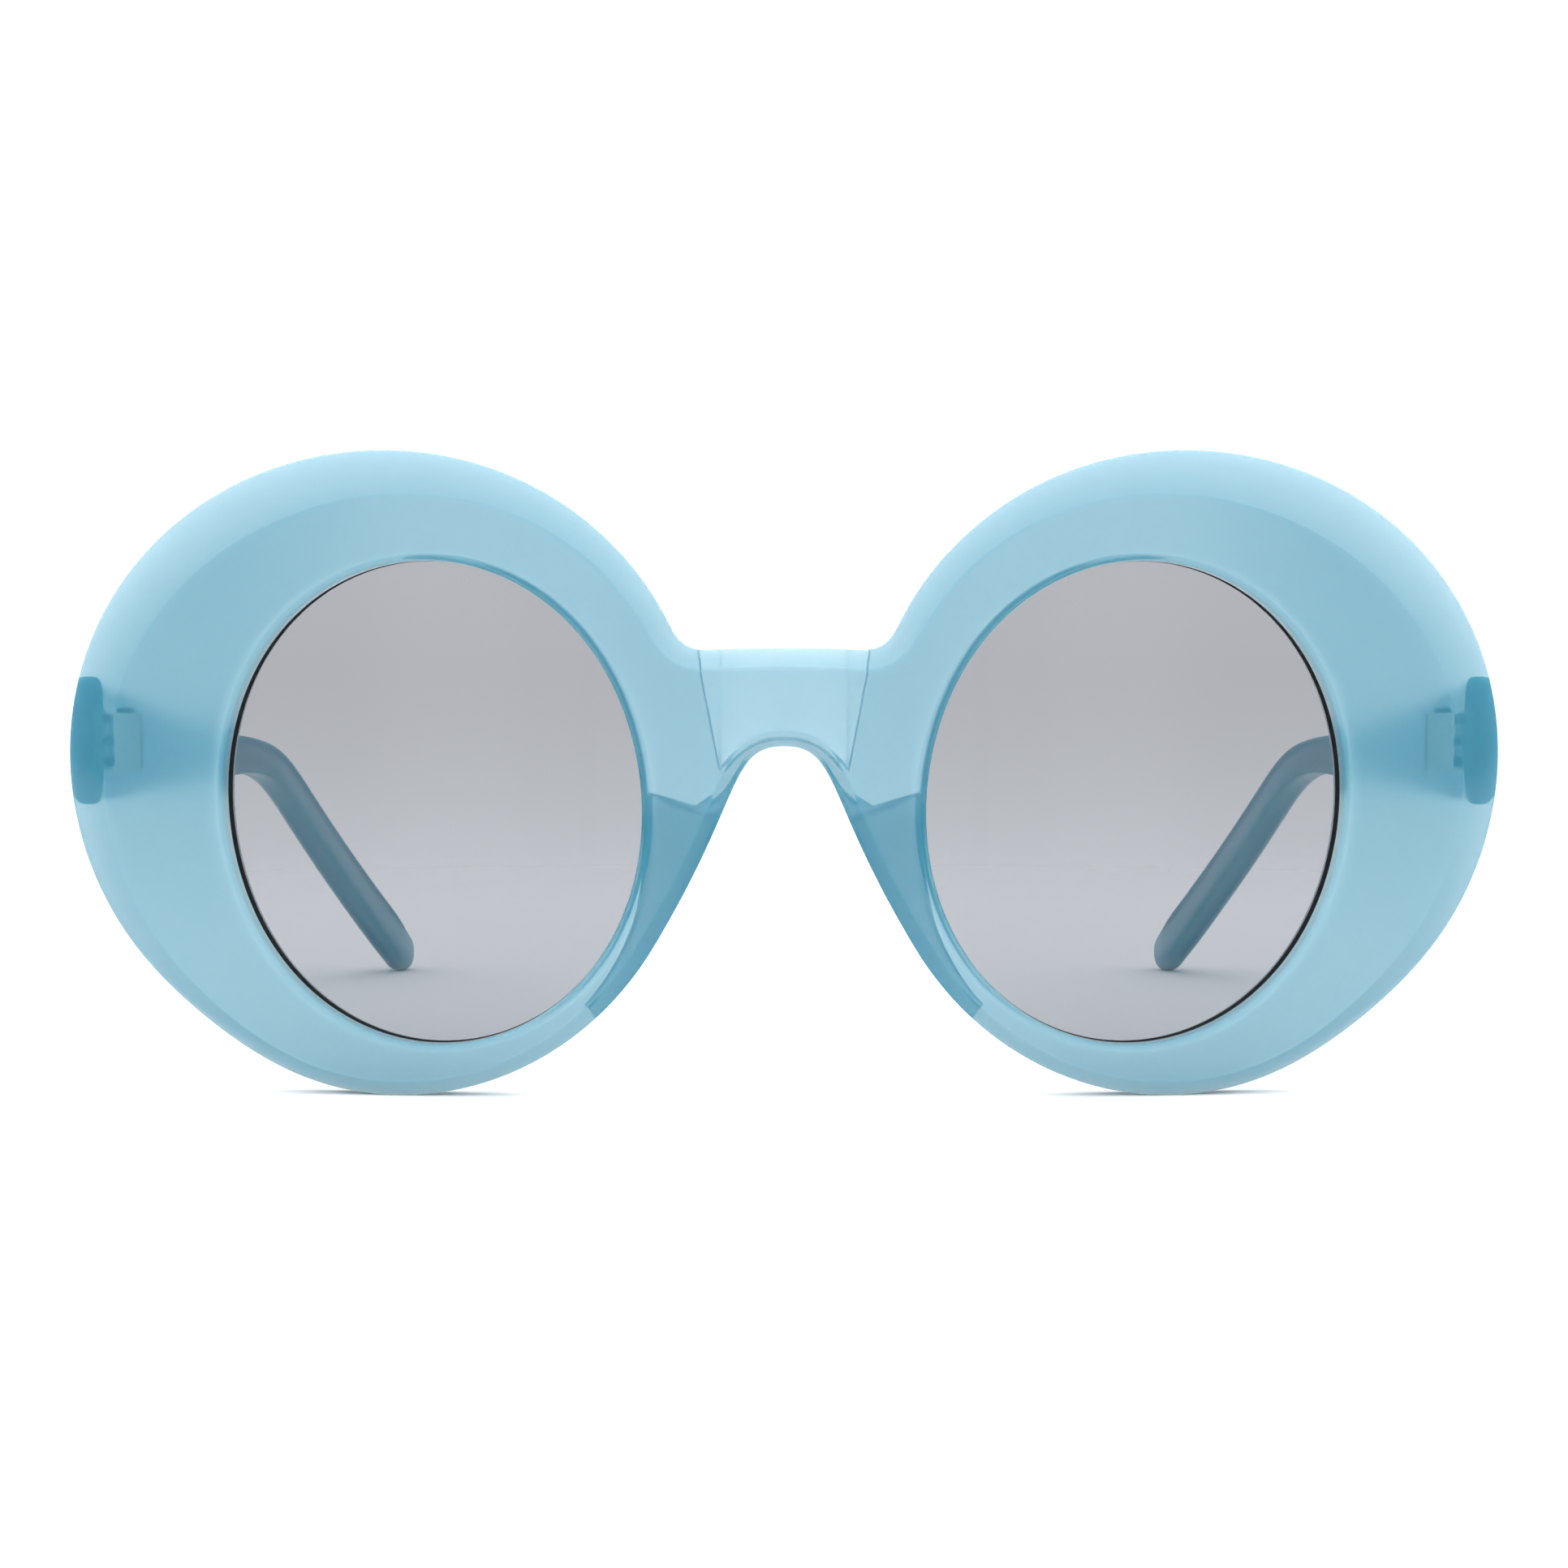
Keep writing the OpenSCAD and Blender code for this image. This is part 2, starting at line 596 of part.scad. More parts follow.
// A section that starts at a point of the nose edge, with its width as a vector and its height
function crowned(nose, wide, high) = concat(
    [for (i = [0:pad_steps])
        let (b = 180 * i / pad_steps)
        on_rear(nose + (1 - cos(b)) / 2 * wide, pad_bond + high * pow(sin(b), pad_crown_power))],
    [for (i = [1:len(rear_shares) - 2]) on_rear(nose + (1 - rear_shares[i]) * wide, pad_bond)]);
function nose_point(z) = [lookup(z, nose_edge), z];

function pad_rise(t) = pad_blunt_share
    + (1 - pad_blunt_share) * sqrt(1 - pow(1 - min(t / pad_rise_share, 1), 2));
function pad_section(t) =
    let (nose = nose_point(pad_top - t * pad_h),
         a = opening_angle(nose) + pad_slant * (1 - t),
         eye = squared(opening_point(a, back_lip_r), front_t))
    crowned(nose, (1 - pad_narrow_share * t * t) * (eye - nose),
            pad_proud * pad_rise(t) * (1 - pad_thin_share * pow(t, pad_thin_power)));

// The horn's sections stand square to the nose edge, from its end down to the pad
function horn_section(t) =
    let (z = horn_low + t * horn_h, step = back_round / 4,
         d = unit(nose_point(z + step) - nose_point(z - step)),
         wide = horn_w * (horn_narrow_share + (1 - horn_narrow_share) * pow(1 - t, horn_power)))
    crowned(nose_point(z), wide * [-d[1], d[0]], horn_proud * (1 - (1 - horn_thin_share) * t));

module nose_pad() {
    loft(concat([for (i = [horn_rings:-1:0]) horn_section(i / horn_rings)],
                [for (i = [0:pad_rings]) pad_section(i / pad_rings)]));
}

module arm() {
    difference() {
        loft([for (u = arm_at) arm_section(u)]);
        temple_leaf_plate();
    }
}

module front() {
    color(PLASTIC) centred() difference() {
        front_blank();
        scoop();
        at_pin() front_leaf_anchor(overrun);
        left_side() at_pin() front_leaf_anchor(overrun);
    }
}
module nose_pad_right() { color(PAD) centred() nose_pad(); }
module nose_pad_left() { color(PAD) centred() left_side() nose_pad(); }
module lens_right() { color(SMOKE) centred() lens(); }
module lens_left() { color(SMOKE) centred() left_side() lens(); }
module temple_right() { color(PLASTIC) centred() arm(); }
module temple_left() { color(PLASTIC) centred() left_side() arm(); }
module hinge_front_leaf_right() { color(STEEL) centred() front_leaf(); }
module hinge_front_leaf_left() { color(STEEL) centred() left_side() front_leaf(); }
module hinge_temple_leaf_right() { color(STEEL) centred() temple_leaf(); }
module hinge_temple_leaf_left() { color(STEEL) centred() left_side() temple_leaf(); }
module hinge_screw_right() { color(STEEL) centred() screw(); }
module hinge_screw_left() { color(STEEL) centred() left_side() screw(); }

front();
nose_pad_right();
nose_pad_left();
lens_right();
lens_left();
temple_right();
temple_left();
hinge_front_leaf_right();
hinge_front_leaf_left();
hinge_temple_leaf_right();
hinge_temple_leaf_left();
hinge_screw_right();
hinge_screw_left();
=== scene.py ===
"""Oversized round sunglasses in milky pale blue plastic, standing open on a white table.

Shapes are worked out in millimetres with the same formulas as the CAD source, only finer, and are
turned into metres when a mesh is made. Right is the wearer's right, X < 0. Every side piece is
shaped for the right side, and its left twin is the mirror image.
"""

import math

import bmesh
import bpy
import numpy as np
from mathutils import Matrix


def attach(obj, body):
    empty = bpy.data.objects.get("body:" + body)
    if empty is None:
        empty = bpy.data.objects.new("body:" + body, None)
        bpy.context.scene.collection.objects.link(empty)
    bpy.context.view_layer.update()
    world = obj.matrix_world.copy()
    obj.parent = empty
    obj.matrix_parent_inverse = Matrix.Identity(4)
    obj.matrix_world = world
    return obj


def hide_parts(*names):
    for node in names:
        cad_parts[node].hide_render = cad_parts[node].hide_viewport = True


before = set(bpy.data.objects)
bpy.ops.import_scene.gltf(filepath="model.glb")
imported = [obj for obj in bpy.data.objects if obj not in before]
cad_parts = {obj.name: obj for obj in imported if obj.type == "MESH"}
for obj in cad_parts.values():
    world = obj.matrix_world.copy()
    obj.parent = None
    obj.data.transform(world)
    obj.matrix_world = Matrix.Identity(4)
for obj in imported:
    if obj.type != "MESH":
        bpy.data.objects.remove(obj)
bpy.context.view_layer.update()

MM = 0.001

# Front blank
RIM_R = 33.35
RIM_GAP = 16.27
RIM_SKEW = 0.011
RIM_CORNER = 0.0106
RIM_FLAT = 0.019
RIM_SKEW_AT, RIM_CORNER_AT, RIM_FLAT_AT = -50, 41, 234
RIM_FLAT_SPAN = 20
FRONT_T = 5.0
BEND_R = 350.0
BACK_ROUND = 0.6
BRIDGE_UP = 12.5
BRIDGE_BOW = 0.2
BRIDGE_FLAT = 16.4
ARCH_UP = 2.6
RIM_FROM, RIM_TO = 27, 327
FILLET_HANDLE, FLANK_HANDLE, ARCH_HANDLE = 0.42, 0.87, 0.275

# Rounded front edge, broad at the brow and slim at the nose
EDGE_W = 5.6
EDGE_W_NOSE = 1.5
EDGE_DEEP = 2.6
EDGE_DEEP_NOSE = 1.0
EDGE_BEVEL = 1.75
EDGE_POWER, EDGE_DEEP_POWER = 2, 0.7
BROW_AT = 130

# Scoop in the back of the bridge
SCOOP_DEEP = 1.8
SCOOP_R = 45.0
SCOOP_W = 18.2
ARCH_RIM_W = 1.3
FLANK_RIM_W = 2.4
SCOOP_FROM = 0.56
SCOOP_FLOOR_R = 0.35
SCOOP_LIP_R = 0.3

# Lens opening and lens
TEMPLE_WALL = 16.6
NOSE_WALL = 6.6
BROW_WALL = 11.65
CHEEK_WALL = 5.05
OPENING_LEAN = 6.7
LIP_R = 0.8
LIP_W_NOSE = 1.6
LIP_AT = 5
LIP_POWER = 5
BACK_LIP_R = 0.4
LENS_T = 1.8
LENS_RECESS = 2.2
GROOVE_DEEP = 0.8
LENS_BULGE = 1.2
LENS_PLAY = 0.03
GROUND_FROM = 0.12

# Nose pads
PAD_DOWN = 4.9
PAD_H = 20.4
PAD_PROUD = 4.2
PAD_SLANT = 6.0
PAD_BOND = 0.05
HORN_W = 2.3
HORN_PROUD = 2.0
PAD_BLUNT, PAD_RISE, PAD_NARROW, PAD_THIN = 0.45, 0.2, 0.6, 0.85
PAD_THIN_POWER, PAD_CROWN_POWER = 1.5, 0.8
HORN_SHARE, HORN_NARROW, HORN_THIN = 0.75, 0.25, 0.8
HORN_POWER = 3

# Arms
ARM_END_H = 13.3
ARM_H = 4.3
ARM_TIP_H = 5.6
ARM_T = 4.0
ARM_DOWN = 3.9
ARM_RUN = 62.0
EAR_L = 30.0
EAR_BEND = 30.0
TOE_IN = 2.4
BOW_R = 545.0
END_GAP = 0.3
TAPER_END = ARM_RUN + EAR_L / 3
TAPER_POWER = 1.4
INNER_POWER, OUTER_POWER, TIP_POWER = 0.38, 0.78, 0.85

# Hinges
PIN_INSET = 1.9
KNUCKLE_D = 2.1
KNUCKLE_H = 1.04
KNUCKLE_GAP = 0.06
SCREW_D = 1.2
SCREW_PLAY = 0.05
HEAD_D = 1.8
HEAD_H = 0.9
PLATE_T = 1.1
PLATE_PROUD = 0.45
PLATE_L = 7.0
PLATE_MARGIN = 0.25
KNUCKLES = 5
LEAF_W_SHARE = 1.35
SCREW_CHAMFER = 0.1
HEAD_CHAMFER = 0.06
HEAD_WALL_SHARE = 0.62
HEAD_POWER = 0.6
SLOT_W, SLOT_DEEP = HEAD_D / 5, HEAD_H / 3
HINGE_BEVEL = 0.07

# How finely the shapes are drawn
BRIDGE_STEPS, FILLET_STEPS, RIM_STEPS, ARCH_STEPS, SEAM_STEPS = 26, 18, 300, 64, 14
FACE_ROWS, LIP_ROWS, BACK_LIP_ROWS, BACK_ROWS, EDGE_ROWS, TURN_ROWS = 12, 8, 5, 15, 13, 7
SCOOP_STEPS, SCOOP_SIDE_STEPS, SCOOP_ROUND_ROWS = 28, 12, 5
LENS_STEPS, LENS_RINGS, LENS_RING_POWER = 360, 15, 1.3
NOSE_STEPS, CROWN_STEPS, BASE_STEPS, HORN_ROWS, PAD_ROWS = 90, 41, 13, 29, 49
RUN_STEPS, EAR_STEPS, TAIL_STEPS, TIP_STEPS, SECTION_STEPS = 60, 48, 20, 22, 64
SUM_STEPS = 400
ROUND_STEPS = 64
HEAD_ANGLES = (20, 40, 60, 75)
HEADING_SHARE = 0.01

# Near the top of the nose arch the front's rings fan out upwards by an angle, over so many steps
FAN_TURN, FAN_STEPS = 8.0, 16

# Edges that turn by more degrees than this stay crisp; points closer than a weld, in metres, are one
CRISP_ANGLE = 35
WELD, SLIVER = 1e-7, 1e-8


def cosd(a):
    return np.cos(np.radians(a))


def sind(a):
    return np.sin(np.radians(a))


def rim_radius(a):
    return RIM_R * (1 + RIM_SKEW * cosd(2 * (a - RIM_SKEW_AT)) + RIM_CORNER * cosd(3 * (a - RIM_CORNER_AT))
                    - RIM_FLAT * np.exp(-((a - RIM_FLAT_AT) / RIM_FLAT_SPAN) ** 2))


RIM_X = -RIM_GAP / 2 - RIM_R
RIM_Z = float(max(-rim_radius(a) * sind(a) for a in range(180, 361)))
FRONT_W = 2 * float(max(-rim_radius(a) * cosd(a) for a in range(90, 271)) - RIM_X)


def rim_point(a):
    a = np.asarray(a, float)
    r = rim_radius(a)
    return np.stack([RIM_X + r * cosd(a), RIM_Z + r * sind(a)], -1)


def bezier(a, b, c, d, t):
    t = np.asarray(t, float)[:, None]
    return (1 - t) ** 3 * a + 3 * t * (1 - t) ** 2 * b + 3 * t * t * (1 - t) * c + t ** 3 * d


def rim_heading(a):
    d = rim_point(a + 1.0) - rim_point(a - 1.0)
    return d / np.linalg.norm(d)


def steps(n):
    return np.arange(n) / n


BRIDGE_TOP, ARCH_TOP = RIM_Z + BRIDGE_UP, RIM_Z + ARCH_UP


def arch_curve(t):
    """The nose flank and the arch, from the rim up to the middle."""
    foot = rim_point(RIM_TO)
    rise = ARCH_TOP - foot[1]
    flank = foot + FLANK_HANDLE * rise * rim_heading(RIM_TO)
    return bezier(foot, flank, np.array([-ARCH_HANDLE * rise, ARCH_TOP]), np.array([0, ARCH_TOP]), t)


def front_outline():
    """Right half of the outline, from the middle of the bridge's top edge round to the nose arch."""
    s = steps(BRIDGE_STEPS)
    flat = np.stack([-s * BRIDGE_FLAT / 2, BRIDGE_TOP + BRIDGE_BOW * (1 - s * s)], -1)
    end, start = np.array([-BRIDGE_FLAT / 2, BRIDGE_TOP]), rim_point(RIM_FROM)
    pull = FILLET_HANDLE * np.linalg.norm(start - end)
    corner = bezier(end, end - [pull, 0], start - pull * rim_heading(RIM_FROM), start,
                    steps(FILLET_STEPS))
    round_rim = rim_point(RIM_FROM + (RIM_TO - RIM_FROM) * steps(RIM_STEPS))
    return np.concatenate([flat, corner, round_rim, arch_curve(np.arange(ARCH_STEPS + 1) / ARCH_STEPS)])


def into_plastic(line):
    """Unit vectors from each point of a line into the plastic on its left, upright at its two ends."""
    d = np.zeros_like(line)
    d[1:-1] = line[2:] - line[:-2]
    d[0], d[-1] = (-1, 0), (1, 0)
    d /= np.linalg.norm(d, axis=1)[:, None]
    return np.stack([-d[:, 1], d[:, 0]], -1)


def near_brow(p):
    """1 at the brow's outer corner, 0 on the far side of the rim."""
    return (1 + cosd(np.degrees(np.arctan2(p[..., 1] - RIM_Z, p[..., 0] - RIM_X)) - BROW_AT)) / 2


def edge_width(p):
    return EDGE_W_NOSE + (EDGE_W - EDGE_W_NOSE) * near_brow(p) ** EDGE_POWER


def edge_depth(p):
    return EDGE_DEEP_NOSE + (EDGE_DEEP - EDGE_DEEP_NOSE) * near_brow(p) ** EDGE_DEEP_POWER


OPENING_W = 2 * RIM_R - TEMPLE_WALL - NOSE_WALL
OPENING_H = 2 * RIM_R - BROW_WALL - CHEEK_WALL
OPENING_C = np.array([RIM_X + (TEMPLE_WALL - NOSE_WALL) / 2, RIM_Z + (CHEEK_WALL - BROW_WALL) / 2])


def opening_point(a, out):
    """The lens opening's border at an angle, moved out by a distance."""
    mean = (OPENING_W + OPENING_H) / 4
    stretch = (OPENING_H - OPENING_W) / (OPENING_H + OPENING_W)
    r = mean * (1 + stretch * cosd(2 * (a - 90 - OPENING_LEAN))) + out
    return OPENING_C + np.stack([r * cosd(a), r * sind(a)], -1)


def opening_angle(p):
    return np.degrees(np.arctan2(p[..., 1] - OPENING_C[1], p[..., 0] - OPENING_C[0]))


def lip_width(a):
    return LIP_R + (LIP_W_NOSE - LIP_R) * ((1 + cosd(a - LIP_AT)) / 2) ** LIP_POWER


def sag(x):
    """How far back the bent face lies at a distance from the middle."""
    return BEND_R - np.sqrt(BEND_R ** 2 - x * x)


def rear(x):
    """How far back the bent blank's rear lies there."""
    return BEND_R - np.sqrt((BEND_R - FRONT_T) ** 2 - x * x)


def squared(p, deep):
    """Where a point of the lens opening comes to lie at a depth, as its walls stand square to the bent face."""
    return p * [1 - deep / BEND_R, 1]


def on_face(p, deep):
    return np.stack([p[..., 0], sag(p[..., 0]) + deep, p[..., 1]], -1)


def on_wall(p, deep):
    x, q = p[..., 0], squared(p, deep)
    return np.stack([q[..., 0], sag(x) + deep * np.sqrt(1 - (x / BEND_R) ** 2), q[..., 1]], -1)


def on_rear(p, out):
    return np.stack([p[..., 0], rear(p[..., 0]) + out, p[..., 1]], -1)


# Arm and hinge places that follow from the sizes
ARM_INNER = FRONT_W / 2 - ARM_T
PIN_X = ARM_INNER - PIN_INSET
FACE_ANGLE = math.asin(PIN_X / BEND_R)
PIN_STAND = KNUCKLE_D / 2 + KNUCKLE_GAP + END_GAP
PIN_Y = float(rear(PIN_X)) + PIN_STAND / math.cos(FACE_ANGLE)
PITCH = KNUCKLE_H + KNUCKLE_GAP
STACK_H = KNUCKLES * KNUCKLE_H + (KNUCKLES - 1) * KNUCKLE_GAP
ARM_LOW = RIM_Z - ARM_DOWN
STACK_LOW = ARM_LOW + (ARM_END_H - STACK_H) / 2
ARM_START = float(rear(ARM_INNER)) + END_GAP
END_LEAN = math.tan(math.asin((ARM_INNER + ARM_T / 2) / BEND_R))
TIP_R = ARM_TIP_H / 2
PLATE_FROM = ARM_START + PLATE_MARGIN


def arm_turn(u):
    t = np.clip((u - ARM_RUN) / EAR_L, 0, 1)
    return EAR_BEND * t * t * (3 - 2 * t)


def ear_reach(u):
    """How far back and down the lower edge has come after a length u of the ear curve."""
    mids = ARM_RUN + (np.arange(SUM_STEPS) + 0.5) / SUM_STEPS * u
    b = arm_turn(mids)
    return np.array([cosd(b).sum(), -sind(b).sum()]) * u / SUM_STEPS


EAR_END = ear_reach(EAR_L)
TAIL_L = float((ARM_LOW + EAR_END[1] + TIP_R * cosd(EAR_BEND) - TIP_R) / sind(EAR_BEND))
ARM_FULL = ARM_RUN + EAR_L + TAIL_L


def arm_path(u):
    tail = max(u - ARM_RUN - EAR_L, 0)
    return (np.array([ARM_START + min(u, ARM_RUN), ARM_LOW]) + ear_reach(min(max(u - ARM_RUN, 0), EAR_L))
            + tail * np.array([cosd(EAR_BEND), -sind(EAR_BEND)]))


def arm_height(u):
    if u < TAPER_END:
        return ARM_H + (ARM_END_H - ARM_H) * (1 - u / TAPER_END) ** TAPER_POWER
    return ARM_H + (ARM_TIP_H - ARM_H) * min((u - TAPER_END) / (ARM_FULL - TAPER_END), 1)


TIP_Y = float(arm_path(ARM_FULL)[0] + TIP_R * sind(EAR_BEND) + TIP_R)


def metres(points):
    """Millimetres from the bridge's face become metres in the frame's own place."""
    return (np.asarray(points, float) - [0, TIP_Y / 2, 0]) * MM


def new_mesh(name, points, faces, mirrored=False):
    """A mesh object from points in millimetres."""
    points = metres(points)
    if mirrored:
        points = points * [-1, 1, 1]
        faces = [tuple(reversed(f)) for f in faces]
    mesh = bpy.data.meshes.new(name)
    mesh.from_pydata([tuple(p) for p in points], [], [tuple(int(i) for i in f) for f in faces])
    mesh.update()
    obj = bpy.data.objects.new(name, mesh)
    bpy.context.scene.collection.objects.link(obj)
    finish_edges(obj)
    return obj


def finish_edges(obj):
    """Closes seams, points the faces outwards and keeps only the real edges crisp."""
    bm = bmesh.new()
    bm.from_mesh(obj.data)
    bmesh.ops.remove_doubles(bm, verts=bm.verts, dist=WELD)
    bmesh.ops.dissolve_degenerate(bm, edges=bm.edges, dist=SLIVER)
    bmesh.ops.recalc_face_normals(bm, faces=bm.faces)
    for f in bm.faces:
        f.smooth = True
    for e in bm.edges:
        e.smooth = len(e.link_faces) == 2 and e.calc_face_angle(0) < math.radians(CRISP_ANGLE)
    bm.to_mesh(obj.data)
    bm.free()


def grid_faces(rows, count, closed=True):
    """Quads between neighbouring rows of equally many points."""
    faces = []
    for r in range(rows - 1):
        for i in range(count if closed else count - 1):
            k = (i + 1) % count
            faces.append((r * count + i, r * count + k, (r + 1) * count + k, (r + 1) * count + i))
    return faces


# ---- Node sheets

def put(tree, node, socket, value):
    """Joins a node's input to another node's output, or sets it to a plain value."""
    if isinstance(value, bpy.types.NodeSocket):
        tree.links.new(value, node.inputs[socket])
    else:
        node.inputs[socket].default_value = value


def lay_node(tree, kind, links, **facts):
    """A new node with its own facts set and its inputs joined."""
    node = tree.nodes.new(kind)
    for key, value in facts.items():
        setattr(node, key, value)
    for socket, value in dict(links).items():
        put(tree, node, socket, value)
    return node


# ---- Materials

class Sheet:
    """One material's node sheet, with short calls to lay nodes and join them."""

    def __init__(self, name):
        self.material = bpy.data.materials.new(name)
        self.material.use_nodes = True
        self.tree = self.material.node_tree
        self.body = self.tree.nodes["Principled BSDF"]
        self.out = self.tree.nodes["Material Output"]

    def lay(self, kind, links=(), **facts):
        return lay_node(self.tree, kind, links, **facts)

    def set(self, **values):
        for key, value in values.items():
            put(self.tree, self.body, key.replace("_", " "), value)

    def place(self):
        return self.lay("ShaderNodeTexCoord").outputs["Object"]

    def noise(self, scale, detail):
        node = self.lay("ShaderNodeTexNoise", {"Vector": self.place(), "Scale": scale, "Detail": detail})
        return node.outputs["Fac"]

    def spread(self, value, low, high, from_low=0.0, from_high=1.0):
        return self.lay("ShaderNodeMapRange", {"Value": value, "From Min": from_low, "From Max": from_high,
                                               "To Min": low, "To Max": high}).outputs["Result"]

    def blend(self, factor, one, two):
        """A mix of two colours, which this node takes at inputs 6 and 7 and gives at output 2."""
        return self.lay("ShaderNodeMix", {"Factor": factor, 6: one, 7: two}, data_type="RGBA").outputs[2]

    def bump(self, height, strength, distance):
        node = self.lay("ShaderNodeBump", {"Height": height, "Strength": strength, "Distance": distance})
        put(self.tree, self.body, "Normal", node.outputs["Normal"])


# A share of the plastic scatters light like milk, by its own colour; the rest is clear and darkens with depth
MILK = (0.078, 0.375, 0.53)
# The pads' milk is the front's milk made a quarter lighter: painted light that brightens the pads
PAD_MILK_PAINTED_LIGHT = (0.1, 0.47, 0.66)
# The arms' milk is the front's milk made about a third lighter: painted light that brightens the arms, also where
# they show through the front
ARM_MILK_PAINTED_LIGHT = (0.11, 0.52, 0.72)
MILK_SHARE = 0.36
MILK_REACH = 0.003
MILK_IOR, CLEAR_IOR = 1.49, 1.24
DEPTH_TINT = (0.05, 0.25, 0.27)
DENSITY = 200.0
POLISH, BACK_HAZE = 0.04, 0.44
WISP_SCALE, WISP_DETAIL, WISP_LOW, WISP_HIGH = 55.0, 3.0, 0.97, 1.03


def milky_plastic(name, milk):
    """Clear plastic with milk in it, polished in front and as hazy as its satin attribute says behind."""
    s = Sheet(name)
    satin = s.lay("ShaderNodeAttribute", attribute_name="satin").outputs["Fac"]
    polish = s.spread(satin, POLISH, BACK_HAZE)
    s.set(Base_Color=(1.0, 1.0, 1.0, 1), Roughness=polish, IOR=CLEAR_IOR, Transmission_Weight=1.0)
    thin, thick = ((*(c * f for c in milk), 1) for f in (WISP_LOW, WISP_HIGH))
    cloud = s.lay("ShaderNodeBsdfPrincipled", {
        "Base Color": s.blend(s.noise(WISP_SCALE, WISP_DETAIL), thin, thick), "Roughness": polish, "IOR": MILK_IOR,
        "Subsurface Weight": 1.0, "Subsurface Radius": (1.0, 1.0, 1.0), "Subsurface Scale": MILK_REACH})
    both = s.lay("ShaderNodeMixShader", {0: MILK_SHARE, 1: s.body.outputs["BSDF"], 2: cloud.outputs["BSDF"]})
    put(s.tree, s.out, "Surface", both.outputs["Shader"])
    fog = s.lay("ShaderNodeVolumeAbsorption", {"Color": (*DEPTH_TINT, 1), "Density": DENSITY})
    put(s.tree, s.out, "Volume", fog.outputs["Volume"])
    return s.material


# The smoke tint is painted darker at the lens's foot than at its top: painted shade that dims the bright table
# seen through the lower lens
SMOKE_LOW_PAINTED_SHADE, SMOKE_TOP = (0.285, 0.301, 0.323, 1), (0.348, 0.355, 0.375, 1)
SMOKE_LOW_Z, SMOKE_TOP_Z = 0.009, 0.055
LENS_IOR = 1.13


def smoke_lens():
    """Smoke grey lens, with painted shade that makes it a little darker towards its foot."""
    s = Sheet("smoke_lens")
    height = s.lay("ShaderNodeSeparateXYZ", {"Vector": s.place()}).outputs["Z"]
    share = s.spread(height, 0.0, 1.0, from_low=SMOKE_LOW_Z, from_high=SMOKE_TOP_Z)
    tint = s.blend(share, SMOKE_LOW_PAINTED_SHADE, SMOKE_TOP)
    s.set(Base_Color=tint, Roughness=0.0, IOR=LENS_IOR, Transmission_Weight=1.0)
    return s.material


def ground_edge():
    """The lens's ground bevel, dark and mat."""
    s = Sheet("ground_lens_edge")
    tone = s.blend(s.noise(scale=900.0, detail=1.0), (0.006, 0.007, 0.008, 1), (0.03, 0.028, 0.03, 1))
    s.set(Base_Color=tone, Roughness=0.6)
    return s.material


def brushed_steel():
    """Steel with fine lines across the pin."""
    s = Sheet("hinge_steel")
    grain = s.lay("ShaderNodeMapping", {"Vector": s.place(), "Scale": (1.0, 1.0, 14.0)}).outputs["Vector"]
    lines = s.lay("ShaderNodeTexNoise", {"Vector": grain, "Scale": 2400.0, "Detail": 2.0}).outputs["Fac"]
    tone = s.blend(lines, (0.1, 0.1, 0.105, 1), (0.18, 0.18, 0.185, 1))
    s.set(Base_Color=tone, Metallic=1.0, Roughness=s.spread(lines, low=0.22, high=0.4))
    s.bump(lines, strength=0.15, distance=0.00002)
    return s.material


# The round table fades out towards its rim, so that no edge of it shows through the lenses
TABLE_R = 0.36
TABLE_FADE_FROM = 0.12


def white_paper():
    """Mat white paper that turns clear towards the table's rim."""
    s = Sheet("white_table")
    reach = s.lay("ShaderNodeVectorMath", {0: s.place()}, operation="LENGTH").outputs["Value"]
    fade = s.lay("ShaderNodeMapRange", {"Value": reach, "From Min": TABLE_FADE_FROM, "From Max": TABLE_R,
                                        "To Min": 1.0, "To Max": 0.0}, interpolation_type="SMOOTHSTEP")
    tone = s.blend(s.noise(scale=6.0, detail=2.0), (0.84, 0.84, 0.84, 1), (0.86, 0.86, 0.86, 1))
    s.set(Base_Color=tone, Roughness=0.9, Specular_IOR_Level=0.0, Alpha=fade.outputs["Result"])
    return s.material


BLUE = milky_plastic("milky_blue_plastic", MILK)
# The arms' material is a lighter copy of the front's plastic: painted light
ARM_BLUE_PAINTED_LIGHT = milky_plastic("milky_blue_arm_plastic", ARM_MILK_PAINTED_LIGHT)
# The pads' material is a lighter copy of the front's plastic: painted light
PAD_BLUE_PAINTED_LIGHT = milky_plastic("nose_pad_plastic", PAD_MILK_PAINTED_LIGHT)
SMOKE = smoke_lens()
EDGE_BLACK = ground_edge()
STEEL = brushed_steel()
PAPER = white_paper()


# ---- Front

